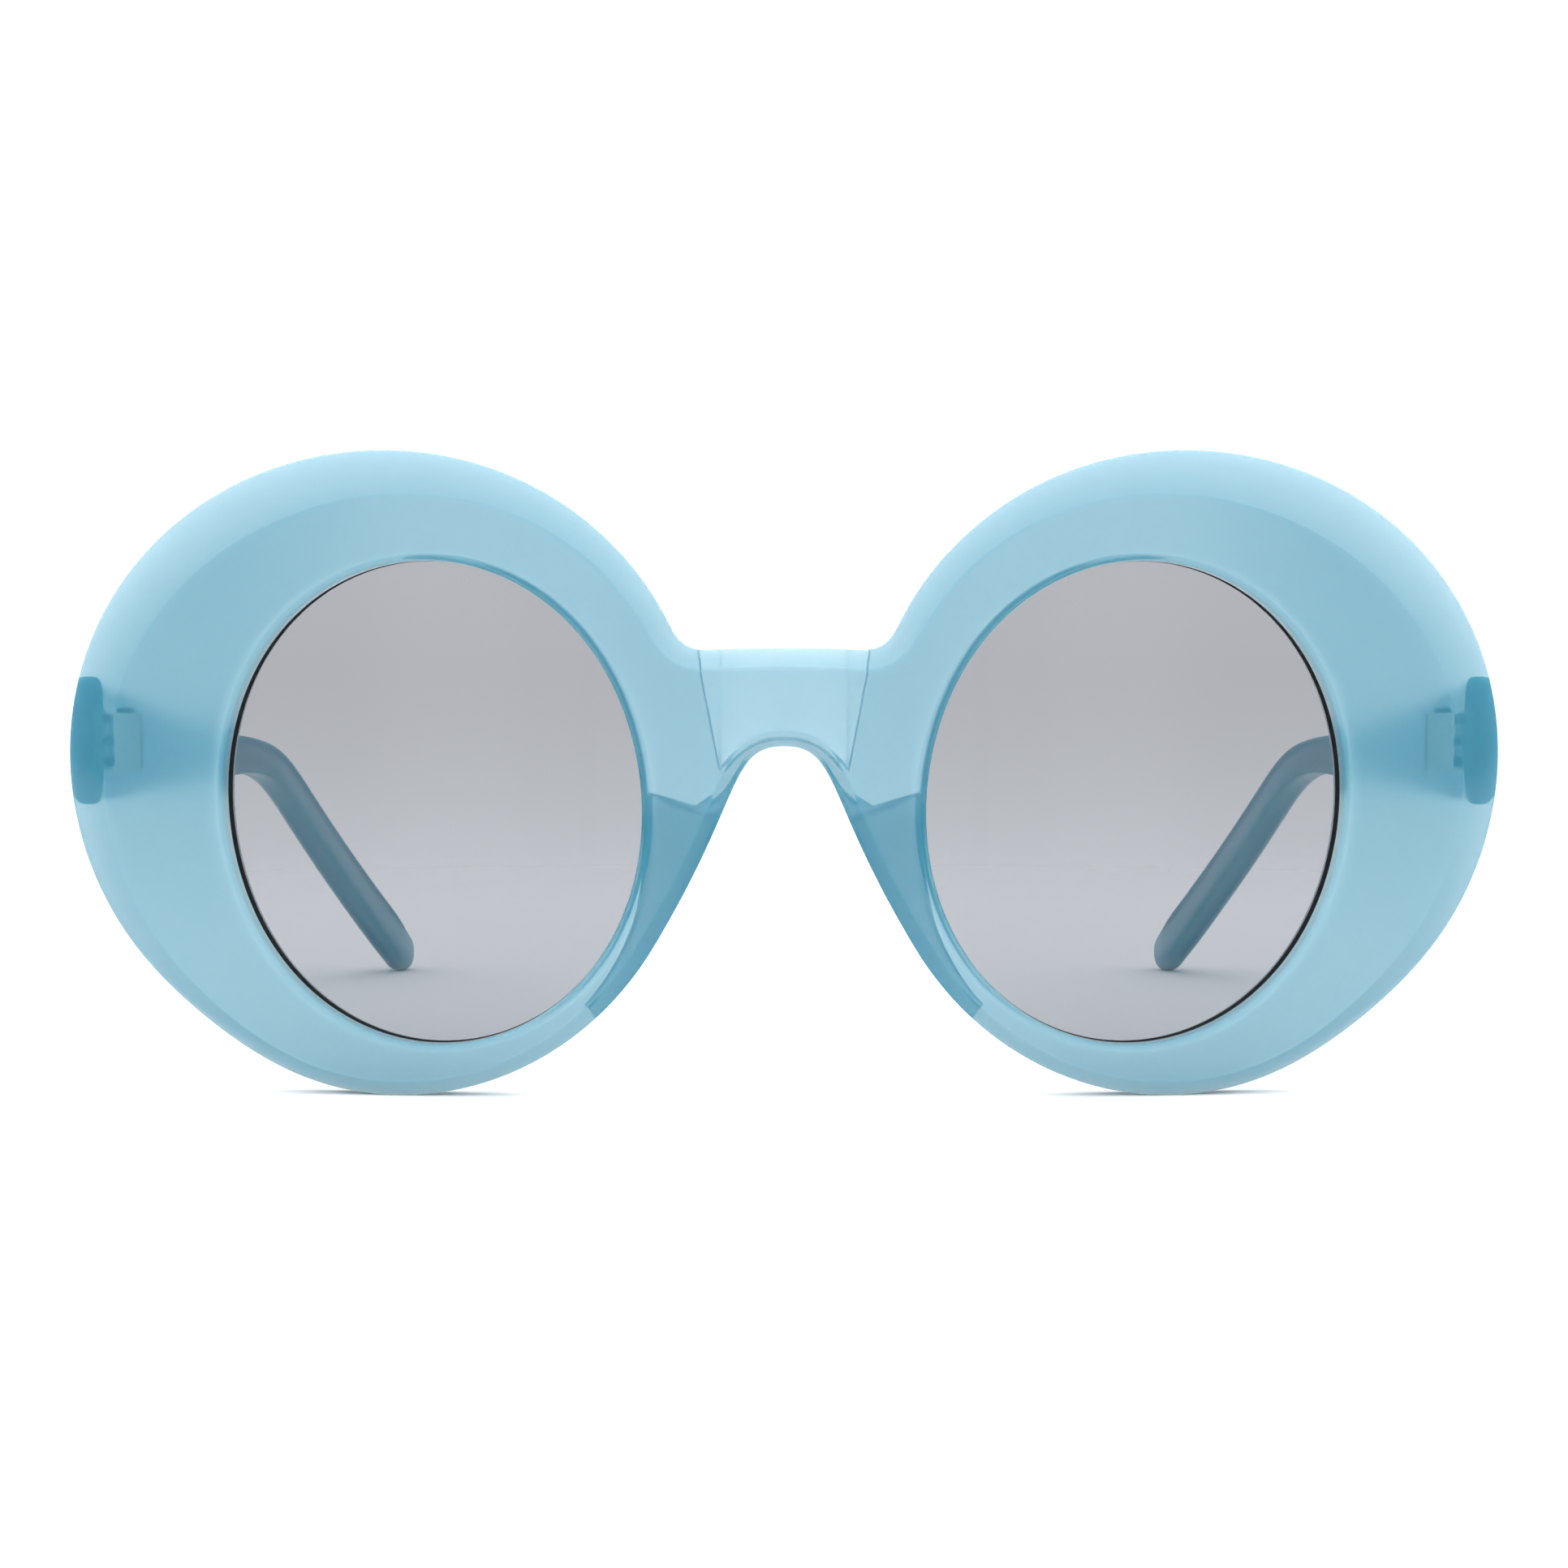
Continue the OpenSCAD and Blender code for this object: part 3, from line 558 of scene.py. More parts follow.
def front_rings():
    """Points of the right half: full rings along its outline, and open ones up the seam at X = 0."""
    line = front_outline()
    inward = into_plastic(line)
    width, depth = edge_width(line)[:, None], edge_depth(line)
    last = len(line) - 1
    t = (np.arange(1, SEAM_STEPS) / SEAM_STEPS)[:, None]
    face_edge, back_edge = line + width * inward, line + BACK_ROUND * inward
    face_all = np.concatenate([face_edge, face_edge[-1] + t * (face_edge[0] - face_edge[-1])])
    back_all = np.concatenate([back_edge, back_edge[-1] + t * (back_edge[0] - back_edge[-1])])
    fan = np.concatenate([np.maximum(1 - (last - np.arange(last + 1)) / FAN_STEPS, 0), 1 - t.ravel()])
    a = opening_angle(face_all) + FAN_TURN * fan
    lip_w = lip_width(a)
    wall = opening_point(a, 0)

    lip = opening_point(a, lip_w)
    rows = [on_face(face_all + f * (lip - face_all), 0) for f in np.linspace(0, 1, FACE_ROWS)[:-1]]
    rows += [on_wall(opening_point(a, lip_w * (1 - sind(b))), LIP_R * (1 - cosd(b)))
             for b in np.linspace(0, 90, LIP_ROWS)]
    rows += [on_wall(wall, LENS_RECESS), on_wall(opening_point(a, GROOVE_DEEP), LENS_RECESS + LENS_T / 2),
             on_wall(wall, LENS_RECESS + LENS_T), on_wall(wall, FRONT_T - BACK_LIP_R)]
    rows += [on_wall(opening_point(a, BACK_LIP_R * (1 - cosd(b))), FRONT_T - BACK_LIP_R * (1 - sind(b)))
             for b in np.linspace(0, 90, BACK_LIP_ROWS)[1:-1]]
    back_lip = squared(opening_point(a, BACK_LIP_R), FRONT_T)
    rows += [on_rear(back_lip + f * (back_all - back_lip), 0) for f in np.linspace(0, 1, BACK_ROWS)]

    front_edge = [on_face(line + width * (1 - cosd(b) ** EDGE_BEVEL) * inward, depth * (1 - sind(b) ** EDGE_BEVEL))
                  for b in np.linspace(0, 90, EDGE_ROWS)[:-1]]
    turned_edge = [on_rear(line + BACK_ROUND * (1 - cosd(b)) * inward, -BACK_ROUND * (1 - sind(b)))
                   for b in np.linspace(90, 0, TURN_ROWS)[1:]]
    ring = np.stack(rows, 1)
    full = np.concatenate([np.stack(front_edge, 1), ring[:last + 1], np.stack(turned_edge, 1)], 1)
    return full, ring[last + 1:], len(front_edge)


def front_blank():
    """The bent blank, lofted from its outline over the face and through the lens openings to its back."""
    full, seam, n_edge = front_rings()
    last, count, n_ring = len(full) - 1, full.shape[1], seam.shape[1]
    points = np.concatenate([full.reshape(-1, 3), seam.reshape(-1, 3)])

    def row(s):
        return s * count + n_edge if s <= last else (last + 1) * count + (s - last - 1) * n_ring

    faces = []
    stations = last + 1 + len(seam)
    for s in range(stations):
        p, q = row(s), row((s + 1) % stations)
        faces += [(p + j, p + j + 1, q + j + 1, q + j) for j in range(n_ring - 1)]
    outside = [*range(n_edge), *range(n_edge + n_ring - 1, count)]
    for k in range(last):
        p, q = k * count, (k + 1) * count
        faces += [(p + j, p + (j + 1) % count, q + (j + 1) % count, q + j) for j in outside]
    n = len(points)
    faces += [tuple(i + n for i in reversed(f)) for f in faces]
    return new_mesh("front_blank", np.concatenate([points, points * [-1, 1, 1]]), faces)


def scoop_line():
    """The scoop's border on the right, from the bridge's top edge down and along the rim over the nose arch."""
    t = np.linspace(SCOOP_FROM, 1, SCOOP_STEPS)
    p, d = arch_curve(t), arch_curve(t + HEADING_SHARE) - arch_curve(t - HEADING_SHARE)
    d /= np.linalg.norm(d, axis=1)[:, None]
    down = np.minimum((ARCH_TOP - p[:, 1]) / (ARCH_UP + FLANK_RIM_W), 1)
    rim = p + (ARCH_RIM_W + (FLANK_RIM_W - ARCH_RIM_W) * down)[:, None] * np.stack([-d[:, 1], d[:, 0]], -1)
    side = np.array([-SCOOP_W / 2, BRIDGE_TOP])
    return np.concatenate([side + np.linspace(0, 1, SCOOP_SIDE_STEPS)[:-1, None] * (rim[0] - side), rim])


def scoop_cutter():
    """A hollow-floored block of the scoop's outline, with rounded borders below and above."""
    half = scoop_line()
    line = np.concatenate([half, half[-2::-1] * [-1, 1]])
    outward = -into_plastic(line)
    outward[0], outward[-1] = (-1, 0), (1, 0)
    over_top, over_back = 2.0, 1.5

    def floor(x):
        return FRONT_T - SCOOP_DEEP + SCOOP_R - np.sqrt(SCOOP_R ** 2 - x * x)

    levels = []
    for b in np.linspace(0, 90, SCOOP_ROUND_ROWS):
        p = line - SCOOP_FLOOR_R * (1 - sind(b)) * outward
        levels.append(np.stack([p[:, 0], floor(line[:, 0]) + SCOOP_FLOOR_R * (1 - cosd(b)), p[:, 1]], -1))
    for b in np.linspace(0, 90, SCOOP_ROUND_ROWS):
        p = line + SCOOP_LIP_R * (1 - cosd(b)) * outward
        levels.append(np.stack([p[:, 0], rear(line[:, 0]) - SCOOP_LIP_R * (1 - sind(b)), p[:, 1]], -1))
    levels.append(levels[-1] + [0, over_back, 0])
    n = len(line)
    low = np.concatenate(levels)
    high = low.copy()
    high[:, 2] = BRIDGE_TOP + over_top
    faces = grid_faces(len(levels), n, closed=False)
    up = len(low)
    faces += [tuple(i + up for i in reversed(f)) for f in faces]
    end = (len(levels) - 1) * n
    for i in range(n - 1):
        faces += [(i + 1, i, up + i, up + i + 1), (end + i, end + i + 1, up + end + i + 1, up + end + i)]
    for j in range(len(levels) - 1):
        for i in (0, n - 1):
            a, b = j * n + i, (j + 1) * n + i
            faces.append((a, b, up + b, up + a) if i == 0 else (b, a, up + a, up + b))
    return new_mesh("scoop_cutter", np.concatenate([low, high]), faces)


def cut_away(obj, cutter):
    """Takes the cutter's shape out of a piece, for good."""
    modifier = obj.modifiers.new("cut", "BOOLEAN")
    modifier.operation, modifier.solver, modifier.object = "DIFFERENCE", "EXACT", cutter
    mesh = bpy.data.meshes.new_from_object(obj.evaluated_get(bpy.context.evaluated_depsgraph_get()))
    obj.modifiers.clear()
    obj.data = mesh
    bpy.data.objects.remove(cutter)


# Faces turn satin while their normal's share of +Y grows from the first value by the second, and all
# of them do in the scoop, which is a little narrower than this share of its width to either side
SATIN_FROM, SATIN_OVER = 0.3, 0.4
SCOOP_SIDE = 0.55
ARM_SATIN = 0.6


def satin_back(obj):
    """Marks what faces back and the walls of the scoop as satin, and leaves the rest polished."""
    turned, spots = (np.empty(len(obj.data.vertices) * 3, np.float32) for _ in range(2))
    obj.data.vertices.foreach_get("normal", turned)
    obj.data.vertices.foreach_get("co", spots)
    value = np.clip((turned.reshape(-1, 3)[:, 1] - SATIN_FROM) / SATIN_OVER, 0, 1)
    x, deep, z = (spots.reshape(-1, 3) / MM + [0, TIP_Y / 2, 0]).T
    margin = 0.01
    in_scoop = (np.abs(x) < SCOOP_SIDE * SCOOP_W) & (deep > FRONT_T - SCOOP_DEEP - margin)
    value[in_scoop & (z < BRIDGE_TOP - BACK_ROUND)] = 1
    obj.data.attributes.new("satin", "FLOAT", "POINT").data.foreach_set("value", value.astype(np.float32))


def shape_front():
    obj = front_blank()
    cut_away(obj, scoop_cutter())
    finish_edges(obj)
    satin_back(obj)
    obj.data.materials.clear()
    obj.data.materials.append(BLUE)
    return obj


def shape_lens(mirrored):
    """A domed smoke lens whose ground bevel sits in the groove of the rim."""
    a = np.arange(LENS_STEPS) * 360 / LENS_STEPS
    front, back = LENS_RECESS + LENS_PLAY, LENS_RECESS + LENS_T - LENS_PLAY
    mid = LENS_RECESS + LENS_T / 2
    rim = opening_point(a, -LENS_PLAY) - OPENING_C
    shares = np.concatenate([[1], 1 - (np.arange(1, LENS_RINGS) / LENS_RINGS) ** LENS_RING_POWER])
    domes = [[on_wall(OPENING_C + f * rim, deep - LENS_BULGE * (1 - f * f)) for f in shares]
             for deep in (front, back)]
    bevel = on_wall(opening_point(a, GROOVE_DEEP - 2 * LENS_PLAY), mid)
    rings = domes[0][::-1] + [bevel] + domes[1]
    poles = [on_wall(OPENING_C, deep - LENS_BULGE) for deep in (front, back)]
    points = np.concatenate([np.stack(rings).reshape(-1, 3), poles])
    count = len(a)
    faces = grid_faces(len(rings), count)
    pole, end = len(points) - 2, (len(rings) - 1) * count
    faces += [((i + 1) % count, i, pole) for i in range(count)]
    faces += [(end + i, end + (i + 1) % count, pole + 1) for i in range(count)]
    obj = new_mesh(f"lens_{'left' if mirrored else 'right'}_tinted", points, faces, mirrored)
    obj.data.materials.append(SMOKE)
    obj.data.materials.append(EDGE_BLACK)
    for f in obj.data.polygons:
        c = f.center / MM
        x, z = (-c.x if mirrored else c.x) / (1 - mid / BEND_R) - OPENING_C[0], c.z - OPENING_C[1]
        reach = np.linalg.norm(opening_point(np.array(math.degrees(math.atan2(z, x))), 0) - OPENING_C)
        if math.hypot(x, z) > reach + GROUND_FROM:
            f.material_index = 1
    return obj


PAD_TOP = RIM_Z - PAD_DOWN
HORN_LOW = PAD_TOP + BACK_ROUND / 2
HORN_H = HORN_SHARE * (ARCH_TOP + BACK_ROUND - HORN_LOW)


def nose_edge():
    """The front's rear edge beside the nose, from the rim's foot up to the arch."""
    line = front_outline()
    return (line + BACK_ROUND * into_plastic(line))[len(line) - ARCH_STEPS - NOSE_STEPS:]


def crowned(nose, wide, high):
    """One section of a nose pad: a crown over a width that starts at the nose edge, and its base."""
    b = np.linspace(0, 180, CROWN_STEPS)
    crown = on_rear(nose + ((1 - cosd(b)) / 2)[:, None] * wide,
                    PAD_BOND + high * np.abs(sind(b)) ** PAD_CROWN_POWER)
    f = np.linspace(1, 0, BASE_STEPS)[1:-1]
    return np.concatenate([crown, on_rear(nose + f[:, None] * wide, np.full(len(f), PAD_BOND))])


def shape_pad(mirrored):
    """A pad that thins downwards from its blunt top, with a horn that climbs the nose flank."""
    edge = nose_edge()

    def nose_point(z):
        return np.array([float(np.interp(z, edge[:, 1], edge[:, 0])), z])

    sections = []
    for t in np.linspace(1, 0, HORN_ROWS):
        z, step = HORN_LOW + t * HORN_H, BACK_ROUND / 4
        d = nose_point(z + step) - nose_point(z - step)
        d /= np.linalg.norm(d)
        wide = HORN_W * (HORN_NARROW + (1 - HORN_NARROW) * (1 - t) ** HORN_POWER)
        sections.append(crowned(nose_point(z), wide * np.array([-d[1], d[0]]), HORN_PROUD * (1 - HORN_THIN * t)))
    for t in np.linspace(0, 1, PAD_ROWS):
        nose = nose_point(PAD_TOP - t * PAD_H)
        eye = squared(opening_point(opening_angle(nose) + PAD_SLANT * (1 - t), BACK_LIP_R), FRONT_T)
        rise = PAD_BLUNT + (1 - PAD_BLUNT) * math.sqrt(1 - (1 - min(t / PAD_RISE, 1)) ** 2)
        sections.append(crowned(nose, (1 - PAD_NARROW * t * t) * (eye - nose),
                                PAD_PROUD * rise * (1 - PAD_THIN * t ** PAD_THIN_POWER)))
    count = len(sections[0])
    faces = grid_faces(len(sections), count)
    faces.append(tuple(reversed(range(count))))
    faces.append(tuple(range((len(sections) - 1) * count, len(sections) * count)))
    obj = new_mesh(f"nose_pad_{'left' if mirrored else 'right'}_bonded", np.concatenate(sections), faces, mirrored)
    satin_back(obj)
    obj.data.materials.append(PAD_BLUE_PAINTED_LIGHT)
    return obj


# ---- Arms, swept along their path by one node tree

class Tree:
    """A geometry node tree, with short calls for its inputs, sums and joins."""

    def __init__(self, name, inputs):
        self.tree = bpy.data.node_groups.new(name, "GeometryNodeTree")
        face = self.tree.interface
        face.new_socket("Geometry", in_out="INPUT", socket_type="NodeSocketGeometry")
        for label, kind in inputs:
            face.new_socket(label, in_out="INPUT", socket_type=kind)
        face.new_socket("Geometry", in_out="OUTPUT", socket_type="NodeSocketGeometry")
        self.given = self.tree.nodes.new("NodeGroupInput").outputs
        self.end = self.tree.nodes.new("NodeGroupOutput").inputs["Geometry"]

    def lay(self, kind, links=(), **facts):
        return lay_node(self.tree, kind, links, **facts)

    def sum(self, operation, *values):
        return self.lay("ShaderNodeMath", dict(enumerate(values)), operation=operation).outputs[0]

    def close(self, geometry, material):
        real = self.lay("GeometryNodeRealizeInstances", {"Geometry": geometry}).outputs["Geometry"]
        done = self.lay("GeometryNodeSetMaterial", {"Geometry": real, "Material": material}).outputs["Geometry"]
        self.tree.links.new(done, self.end)

    def grow(self, name, mesh, values):
        """Runs the tree on a mesh with its inputs set by their sockets, and returns the plain mesh object."""
        holder = bpy.data.objects.new(name + "_plan", mesh)
        bpy.context.scene.collection.objects.link(holder)
        modifier = holder.modifiers.new(name, "NODES")
        modifier.node_group = self.tree
        for item in self.tree.interface.items_tree:
            if item.in_out == "INPUT" and item.name in values:
                modifier[item.identifier] = values[item.name]
        depsgraph = bpy.context.evaluated_depsgraph_get()
        grown = bpy.data.meshes.new_from_object(holder.evaluated_get(depsgraph))
        grown.name = name
        bpy.data.objects.remove(holder)
        obj = bpy.data.objects.new(name, grown)
        bpy.context.scene.collection.objects.link(obj)
        return obj


def arm_tree():
    """Sweeps a section along the path: flat inside, crowned outside, drawn in to a round tip.

    The grid's last row of points comes to lie on its first, so that the merge leaves a closed skin.
    """
    t = Tree("arm_sweep", [("Thickness", "NodeSocketFloat"), ("Inner Power", "NodeSocketFloat"),
                           ("Outer Power", "NodeSocketFloat"), ("Tip Power", "NodeSocketFloat"),
                           ("Points Around", "NodeSocketInt"), ("Plastic", "NodeSocketMaterial")])
    g = t.given
    spine = t.lay("GeometryNodeAttributeDomainSize", {"Geometry": g["Geometry"]}).outputs["Point Count"]
    around = t.sum("ADD", g["Points Around"], 1.0)
    sheet = t.lay("GeometryNodeMeshGrid",
                  {"Size X": 1.0, "Size Y": 1.0, "Vertices X": spine, "Vertices Y": around}).outputs["Mesh"]
    index = t.lay("GeometryNodeInputIndex").outputs[0]
    ring = t.sum("FLOOR", t.sum("DIVIDE", index, around))
    place = t.sum("MODULO", t.sum("MODULO", index, around), g["Points Around"])
    angle = t.sum("MULTIPLY", t.sum("DIVIDE", place, g["Points Around"]), 2 * math.pi)

    def station(name, kind="FLOAT"):
        wanted = t.lay("GeometryNodeInputNamedAttribute", {"Name": name}, data_type=kind).outputs["Attribute"]
        node = t.lay("GeometryNodeSampleIndex", data_type=kind)
        t.tree.links.new(g["Geometry"], node.inputs["Geometry"])
        t.tree.links.new(wanted, node.inputs["Value"])
        t.tree.links.new(ring, node.inputs["Index"])
        return node.outputs["Value"]

    height, turn, grow, tip, lean = (station(n) for n in ("height", "turn", "grow", "tip", "lean"))
    middle = station("middle", "FLOAT_VECTOR")
    c, s = t.sum("COSINE", angle), t.sum("SINE", angle)
    inside = t.sum("GREATER_THAN", c, 0.0)
    side = t.sum("ADD", t.sum("MULTIPLY", inside, g["Inner Power"]),
                 t.sum("MULTIPLY", t.sum("SUBTRACT", 1.0, inside), g["Outer Power"]))
    power = t.sum("ADD", side, t.sum("MULTIPLY", tip, t.sum("SUBTRACT", g["Tip Power"], side)))

    def bulge(v):
        return t.sum("MULTIPLY", t.sum("SIGN", v), t.sum("POWER", t.sum("ABSOLUTE", v), power))

    half = t.sum("MULTIPLY", g["Thickness"], 0.5)
    across = t.sum("MULTIPLY", t.sum("MULTIPLY", half, bulge(c)), grow)
    up = t.sum("MULTIPLY", t.sum("MULTIPLY", t.sum("MULTIPLY", height, 0.5), bulge(s)), grow)
    back = t.sum("ADD", t.sum("MULTIPLY", up, t.sum("SINE", turn)),
                 t.sum("MULTIPLY", lean, t.sum("SUBTRACT", half, across)))
    rise = t.sum("MULTIPLY", up, t.sum("COSINE", turn))
    offset = t.lay("ShaderNodeCombineXYZ", {0: across, 1: back, 2: rise}).outputs[0]
    spot = t.lay("ShaderNodeVectorMath", {0: middle, 1: offset}, operation="ADD").outputs[0]
    swept = t.lay("GeometryNodeSetPosition", {"Geometry": sheet, "Position": spot}).outputs["Geometry"]
    merged = t.lay("GeometryNodeMergeByDistance", {"Geometry": swept, "Distance": WELD}).outputs["Geometry"]
    t.close(merged, g["Plastic"])
    return t


def shape_arm(sweep):
    """The right arm, swept along stations that tell its middle, height, turn and shape at each length."""
    ear_end = ARM_RUN + EAR_L
    u = np.concatenate([[0, 0], np.linspace(0, ARM_RUN, RUN_STEPS)[1:-1],
                        np.linspace(ARM_RUN, ear_end, EAR_STEPS)[:-1],
                        np.linspace(ear_end, ARM_FULL, TAIL_STEPS)[:-1],
                        ARM_FULL + TIP_R * sind(np.linspace(0, 90, TIP_STEPS))])
    rows = []
    for i, v in enumerate(u):
        at, h, b = arm_path(v), arm_height(v), float(arm_turn(v))
        d = at[0] - ARM_START
        x = -ARM_INNER - ARM_T / 2 + d * math.tan(math.radians(TOE_IN)) + d * d / (2 * BOW_R)
        y, z = at[0] + h / 2 * sind(b), at[1] + h / 2 * cosd(b)
        grow = 1.0 if v <= ARM_FULL else math.sqrt(max(1 - ((v - ARM_FULL) / TIP_R) ** 2, 0))
        grow = 0.0 if i == 0 else grow
        tip = min(max(1 + (v - ARM_FULL) / ARM_TIP_H, 0), 1)
        rows.append(((x, y, z), h * MM, math.radians(b), grow, tip, END_LEAN * max(1 - v / ARM_END_H, 0)))
    rows[0] = (rows[0][0], *rows[1][1:3], 0.0, *rows[1][4:])
    mesh = bpy.data.meshes.new("arm_spine")
    spots = metres([r[0] for r in rows])
    mesh.from_pydata([tuple(p) for p in spots], [(i, i + 1) for i in range(len(rows) - 1)], [])
    middle = mesh.attributes.new("middle", "FLOAT_VECTOR", "POINT")
    middle.data.foreach_set("vector", spots.astype(np.float32).ravel())
    for k, name in enumerate(("height", "turn", "grow", "tip", "lean"), 1):
        column = np.array([r[k] for r in rows], np.float32)
        mesh.attributes.new(name, "FLOAT", "POINT").data.foreach_set("value", column)
    return sweep.grow("temple_right_swept", mesh, {
        "Thickness": ARM_T * MM, "Inner Power": INNER_POWER, "Outer Power": OUTER_POWER, "Tip Power": TIP_POWER,
        "Points Around": SECTION_STEPS, "Plastic": ARM_BLUE_PAINTED_LIGHT})


def satin_everywhere(obj, value):
    """One satin value for the whole piece."""
    obj.data.attributes.new("satin", "FLOAT", "POINT").data.foreach_set(
        "value", np.full(len(obj.data.vertices), value, np.float32))


def twin(obj, name):
    """The left side's copy, mirrored and turned the right way out again."""
    mesh = obj.data.copy()
    other = bpy.data.objects.new(name, mesh)
    bpy.context.scene.collection.objects.link(other)
    for v in mesh.vertices:
        v.co.x = -v.co.x
    mesh.flip_normals()
    return other


# ---- Hinges: knuckles repeated up the pin, their plates, and the screw

def knuckle_tree():
    """Bored barrels with their web to the plate, repeated at an even pitch up the pin."""
    t = Tree("knuckle_stack", [("Barrel", "NodeSocketFloat"), ("Height", "NodeSocketFloat"),
                               ("Bore", "NodeSocketFloat"), ("Pitch", "NodeSocketFloat"),
                               ("Count", "NodeSocketInt"), ("Web Size", "NodeSocketVector"),
                               ("Web Middle", "NodeSocketVector"), ("Start", "NodeSocketVector"),
                               ("Steel", "NodeSocketMaterial")])
    g = t.given
    barrel = t.lay("GeometryNodeMeshCylinder", {"Vertices": ROUND_STEPS, "Depth": g["Height"],
                                                "Radius": t.sum("MULTIPLY", g["Barrel"], 0.5)}).outputs["Mesh"]
    web = t.lay("GeometryNodeMeshCube", {"Size": g["Web Size"]}).outputs["Mesh"]
    web = t.lay("GeometryNodeTransform", {"Geometry": web, "Translation": g["Web Middle"]}).outputs["Geometry"]
    through = t.sum("MULTIPLY", g["Height"], 2.0)
    bore = t.lay("GeometryNodeMeshCylinder", {"Vertices": ROUND_STEPS, "Depth": through,
                                              "Radius": t.sum("MULTIPLY", g["Bore"], 0.5)}).outputs["Mesh"]
    both = t.lay("GeometryNodeMeshBoolean", operation="UNION", solver="EXACT")
    t.tree.links.new(web, both.inputs["Mesh 2"])
    t.tree.links.new(barrel, both.inputs["Mesh 2"])
    cut = t.lay("GeometryNodeMeshBoolean", operation="DIFFERENCE", solver="EXACT")
    t.tree.links.new(both.outputs["Mesh"], cut.inputs["Mesh 1"])
    t.tree.links.new(bore, cut.inputs["Mesh 2"])
    step = t.lay("ShaderNodeCombineXYZ", {2: g["Pitch"]}).outputs[0]
    line = {"Count": g["Count"], "Start Location": g["Start"], "Offset": step}
    places = t.lay("GeometryNodeMeshLine", line).outputs["Mesh"]
    stack = t.lay("GeometryNodeInstanceOnPoints", {"Points": places, "Instance": cut.outputs["Mesh"]})
    t.close(stack.outputs["Instances"], g["Steel"])
    return t


def box_mesh(low, high):
    """A block between two corners given in millimetres."""
    bm = bmesh.new()
    bmesh.ops.create_cube(bm, size=1.0)
    for v in bm.verts:
        v.co = [((low[i] + high[i]) / 2 + v.co[i] * (high[i] - low[i])) * MM for i in range(3)]
    return bm


def add_box(obj, low, high):
    """Adds a block, given in millimetres about the pin's foot, to a hinge piece."""
    extra = bpy.data.meshes.new("block")
    bm = box_mesh(low, high)
    bm.to_mesh(extra)
    bm.free()
    bm = bmesh.new()
    bm.from_mesh(obj.data)
    bm.from_mesh(extra)
    bm.to_mesh(obj.data)
    bm.free()
    bpy.data.meshes.remove(extra)


def round_off(obj):
    """A fine bevel on every real edge, as a tumbled metal part has."""
    modifier = obj.modifiers.new("bevel", "BEVEL")
    modifier.width = HINGE_BEVEL * MM
    modifier.segments = 2
    modifier.limit_method = "ANGLE"
    modifier.angle_limit = math.radians(40)
    mesh = bpy.data.meshes.new_from_object(obj.evaluated_get(bpy.context.evaluated_depsgraph_get()))
    obj.modifiers.clear()
    obj.data = mesh


def to_pin(obj, turned):
    """Moves a piece drawn about the pin's foot, in metres, to its place on the right side."""
    angle = -FACE_ANGLE if turned else 0.0
    c, s = math.cos(angle), math.sin(angle)
    ox, oy = -PIN_X * MM, (PIN_Y - TIP_Y / 2) * MM
    for v in obj.data.vertices:
        x, y = v.co.x, v.co.y
        v.co.x, v.co.y = ox + c * x - s * y, oy + s * x + c * y


def shape_leaf(stack, name, count, start, web_low, web_high, plate_low, plate_high, turned):
    """A hinge leaf of so many knuckles; web and plate are given by x and y, in millimetres from the pin."""
    (x0, y0), (x1, y1) = web_low, web_high
    obj = stack.grow(name, bpy.data.meshes.new("leaf"), {
        "Barrel": KNUCKLE_D * MM, "Height": KNUCKLE_H * MM, "Bore": (SCREW_D + 2 * SCREW_PLAY) * MM,
        "Pitch": 2 * PITCH * MM, "Count": count,
        "Web Size": ((x1 - x0) * MM, (y1 - y0) * MM, KNUCKLE_H * MM),
        "Web Middle": ((x0 + x1) / 2 * MM, (y0 + y1) / 2 * MM, 0.0),
        "Start": (0.0, 0.0, (start + KNUCKLE_H / 2) * MM), "Steel": STEEL})
    add_box(obj, (*plate_low, STACK_LOW - PLATE_MARGIN), (*plate_high, STACK_LOW + STACK_H + PLATE_MARGIN))
    finish_edges(obj)
    round_off(obj)
    to_pin(obj, turned)
    finish_edges(obj)
    return obj


def shape_front_leaf(stack):
    left = -KNUCKLE_D / 4
    return shape_leaf(stack, "hinge_front_leaf_right_steel", 2, STACK_LOW + PITCH,
                      (left, -PIN_STAND), (KNUCKLE_D / 2, 0.0),
                      (left, -PIN_STAND - PLATE_T), (left + LEAF_W_SHARE * KNUCKLE_D, -PIN_STAND), True)


def shape_temple_leaf(stack):
    front, plate_face = PLATE_FROM - PIN_Y, PIN_X - ARM_INNER + PLATE_PROUD
    return shape_leaf(stack, "hinge_temple_leaf_right_steel", 3, STACK_LOW,
                      (-PIN_INSET, front), (0.0, KNUCKLE_D / 2),
                      (plate_face - PLATE_T, front), (plate_face, front + PLATE_L), False)


